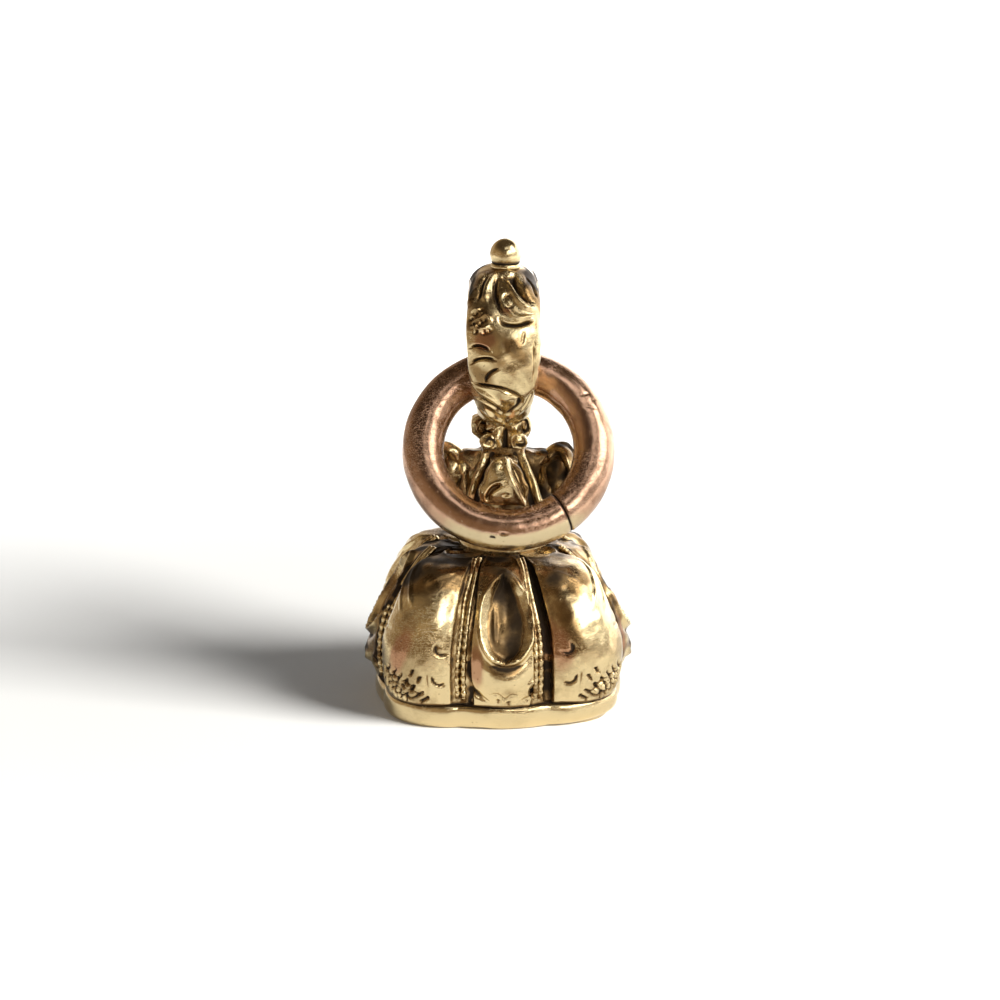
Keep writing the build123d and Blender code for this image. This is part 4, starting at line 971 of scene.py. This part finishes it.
def build_pieces():
    """Makes every piece and gives the carried-over CAD nodes their materials."""
    wear_and_shade = make_wear_and_shade_group()
    gold = metal_material("antique_gold", wear_and_shade, ANTIQUE_GOLD)
    rose_gold = metal_material("rose_gold_wire", wear_and_shade, ROSE_GOLD)
    hidden = metal_material("peg_metal", wear_and_shade, PEG_METAL, carved=False)

    def gold_piece(name, replaced, *grids):
        make_piece(name, grids, gold, "seal", replaced)

    gold_piece("lobed_body", "dome_shell", body_grid())
    gold_piece("beaded_ribs", "groove_ribs", *rib_grids())
    gold_piece("foot_band", "foot_rim", rim_grid())
    for name, sign in (("front", 1), ("back", -1)):
        gold_piece("bow_limb_" + name, "bow_" + name + "_limb", limb_grid(sign))
    # The dark values paint shade in the leaves' curls, most in the right leaf's.
    for k, (name, dark) in enumerate((("right", 0.6), ("back", 0.3), ("left", 0.15))):
        turn = (k + 1) * QUARTER
        gold_piece("scrolled_leaf_" + name, "leaf_" + name, leaf_grid(SIDE_LEAF, turn, 11.0 + k, dark),
                   plate_grid(LEAF_WEB, WEB_HALF, turn, 31.0 + k, 0.1 + dark),
                   plate_grid(LEAF_ROLL, ROLL_HALF, turn, 35.0 + k, 0.15 + dark))
    gold_piece("scrolled_leaf_front", "leaf_front", leaf_grid(FRONT_LEAF, 0.0, 15.0),
               plate_grid(LEAF_WEB, WEB_HALF, 0.0, 35.0, 0.3))
    gold_piece("calyx_cup", "calyx", calyx_grid())
    for side, word in ((1, "right"), (-1, "left")):
        for front, place in ((1, "front"), (-1, "back")):
            centre = (0.82 * side, -1.025 * front, CALYX_TOP + 0.37)
            deep = 0.07 if side == front else 0.03
            gold_piece("volute_" + place + "_" + word + "_curl", "volute_" + place + "_" + word,
                       scroll_grid(centre, (0.43, 0.43), 0.85, 0.6 * side, 21.0 + side, deep, 0.1))
        out, half = (1.02, 0.46) if side > 0 else (-1.14, 0.6)
        centre = (out, 0.0, CALYX_TOP + 0.98)
        gold_piece("waist_scroll_" + word + "_curl", "waist_scroll_" + word,
                   scroll_grid(centre, (half, 0.66), 1.3, 0.9 * side, 27.0 + side, 0.16, 0.3))
    make_piece("wire_ring", [ring_grid()], rose_gold, "ring", "jump_ring")
    collar = to_row(revolve_grid(COLLAR_PROFILE, 60, 128))
    z = collar[..., 2]
    gold_piece("neck_ring", "neck_collar", (collar, 0.85 * hump(z, 9.16, 0.09) + 0.8 * smooth(-z, -8.3, -8.12)))
    gold_piece("stem_core", "stem", stem_grid())
    ball = to_row(revolve_grid(BALL_PROFILE, 60, 96, BALL_PLACE))
    gold_piece("ball_knob", "ball_finial", (ball, smooth(-ball[..., 2], -23.95, -23.8) * 0.9 + 0.16))
    seat = to_row(revolve_grid(SEAT_PROFILE, 40, 96, BALL_PLACE))
    gold_piece("ball_seat", "finial_seat", (seat, 0.8 * hump(seat[..., 2], 23.46, 0.07)))
    for name, material in (("seal_stone", stone_material()), ("cement_bed", cement_material()),
                           ("handle_peg", hidden), ("peg_washer", hidden)):
        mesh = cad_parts[name].data
        mesh.materials.clear()
        mesh.materials.append(material)


# The stage

FLOOR_HALF = 3.0
WARM_LIGHT = np.array([1.0, 0.74, 0.47])
# Window panes of the room: strength, left and right azimuth, low and high elevation, and softness in degrees
PANES = ((5.5, 46, 84, 26, 60, 4), (5.4, 10, 42, 24, 42, 3), (2.2, -6, 36, 58, 67, 3), (0.7, 28, 95, 2, 20, 6),
         (2.4, 92, 170, -8, 42, 6))
LAMP_PLACE = (0.292, -0.178, 0.195)
LAMP_SIZE = (0.22, 0.16)
LAMP_WATTS = 3.6
LAMP_COLOUR = (1.0, 0.985, 0.96)
CAMERA_PLACE = (-0.00752, -0.14535, 0.04709)
CAMERA_AIM = (0.0000999, -0.0000052, 0.0108)
WORLD_LEVEL = 0.09      # the white world's strength on the object, where the camera sees 1


def room_light(a, e):
    """The room's colour at azimuth a, from the front round to the right, and elevation e in degrees: near
    black overhead, brown in front and at the left, pale behind, with the window panes."""
    low = 1 - smooth(e, 22, 52)
    back = smooth(a, 95, 130) + 0.4 * smooth(-a, 95, 130)
    level = 0.09 + low * (0.23 + 0.7 * back) + 0.16 * blob(a, e, -60, 16, 45, 22, 1.0)
    for strength, left, right, bottom, top, soft in PANES:
        across = smooth(a, left - soft, left + soft) * smooth(-a, -right - soft, -right + soft)
        upright = smooth(e, bottom - soft, bottom + soft) * smooth(-e, -top - soft, -top + soft)
        level = level + strength * across * upright
    return level[..., None] * (WARM_LIGHT + (1 - WARM_LIGHT) * smooth(level, 0.35, 0.95)[..., None])


def glow_material():
    """Light of the colour held in the mesh's own glow values."""
    m = bpy.data.materials.new("room_glow")
    m.use_nodes = True
    t = m.node_tree
    t.nodes.clear()
    glow = node(t, "ShaderNodeAttribute", attribute_name="glow")
    shine = node(t, "ShaderNodeEmission", {"Color": glow.outputs["Color"], "Strength": 1.0})
    node(t, "ShaderNodeOutputMaterial", {0: shine.outputs[0]})
    return m


def surroundings():
    """The dark room round the pale table, seen only in the metal: a dome whose reach from the object, smallest
    in front, is 0.15 - 0.085 * exp(-((azimuth + 18) / 48)^2) metres."""
    e, a = np.meshgrid(np.linspace(0, 90, 121), np.linspace(-180, 180, 289), indexing="ij")
    E, A = np.radians(e), np.radians(a)
    reach = 0.15 - 0.085 * hump(a, -18, 48)
    P = reach[..., None] * np.stack([np.cos(E) * np.sin(A), -np.cos(E) * np.cos(A), np.sin(E)], axis=-1)
    rows, cols = a.shape
    first = np.arange((rows - 1) * cols)
    first = first[first % cols < cols - 1]
    quads = np.stack([first, first + 1, first + cols + 1, first + cols], axis=1)
    mesh = bpy.data.meshes.new("surroundings")
    mesh.from_pydata(P.reshape(-1, 3).tolist(), [], quads.tolist())
    glow = np.concatenate([room_light(a, e), np.ones((rows, cols, 1))], axis=-1)
    layer = mesh.attributes.new("glow", "FLOAT_COLOR", "POINT")
    layer.data.foreach_set("color", glow.astype(np.float32).ravel())
    mesh.materials.append(glow_material())
    obj = add_object("surroundings", mesh)
    obj.visible_camera = False
    obj.visible_shadow = False
    obj.visible_diffuse = False


def seen_directly(tree):
    """One for camera, glossy and transmission rays, and nothing for the rest."""
    path = node(tree, "ShaderNodeLightPath").outputs
    mirrored = maths(tree, "MAXIMUM", path["Is Glossy Ray"], path["Is Transmission Ray"])
    return maths(tree, "MAXIMUM", path["Is Camera Ray"], mirrored)


def floor_material():
    """White paper that keeps a shadow, and that shows white further off, where the lamp doesn't reach."""
    m, t, shader = new_material("pale_floor")
    shader.inputs["Base Color"].default_value = (0.9, 0.9, 0.88, 1)
    shader.inputs["Roughness"].default_value = 0.9
    shader.inputs["Specular IOR Level"].default_value = 0.1
    shader.inputs["Emission Color"].default_value = (1, 1, 1, 1)
    away = node(t, "ShaderNodeVectorMath", {0: object_place(t)}, operation="LENGTH").outputs["Value"]
    lift = ramp(t, away, 0.015, 0.12, 0.05, 1.0)
    t.links.new(maths(t, "MULTIPLY", lift, seen_directly(t)), shader.inputs["Emission Strength"])
    return m


def build_floor():
    """A plain square sheet under the object."""
    mesh = bpy.data.meshes.new("floor")
    s = FLOOR_HALF
    mesh.from_pydata([(-s, -s, 0), (s, -s, 0), (s, s, 0), (-s, s, 0)], [], [(0, 1, 2, 3)])
    mesh.materials.append(floor_material())
    add_object("floor", mesh)


def point_at(obj, place, target):
    """Puts a lamp or camera at a place, looking at a target."""
    obj.location = place
    obj.rotation_euler = (Vector(target) - Vector(place)).to_track_quat("-Z", "Y").to_euler()


def build_stage():
    """The pale floor, the dark room that metal needs round it, the world, the lamp and the camera."""
    build_floor()
    surroundings()
    scene = bpy.context.scene
    scene.world = bpy.data.worlds.new("pale_studio")
    scene.world.use_nodes = True
    t = scene.world.node_tree
    t.nodes.clear()
    strength = ramp(t, seen_directly(t), 0.0, 1.0, WORLD_LEVEL, 1.0)
    back = node(t, "ShaderNodeBackground", {"Color": (1, 1, 1, 1), "Strength": strength})
    node(t, "ShaderNodeOutputWorld", {0: back.outputs[0]})
    light = bpy.data.lights.new("window", "AREA")
    light.shape = "RECTANGLE"
    light.size, light.size_y = LAMP_SIZE
    light.energy = LAMP_WATTS
    light.color = LAMP_COLOUR
    lamp = add_object("window", light)
    lamp.visible_glossy = False
    point_at(lamp, LAMP_PLACE, (0, 0, 0.01))
    camera = bpy.data.cameras.new("camera")
    camera.lens = 100.44
    camera.sensor_width = 36.0
    camera.clip_start = 0.005
    eye = add_object("camera", camera)
    point_at(eye, CAMERA_PLACE, CAMERA_AIM)
    scene.camera = eye
    scene.view_settings.view_transform = "Standard"


build_pieces()
build_stage()
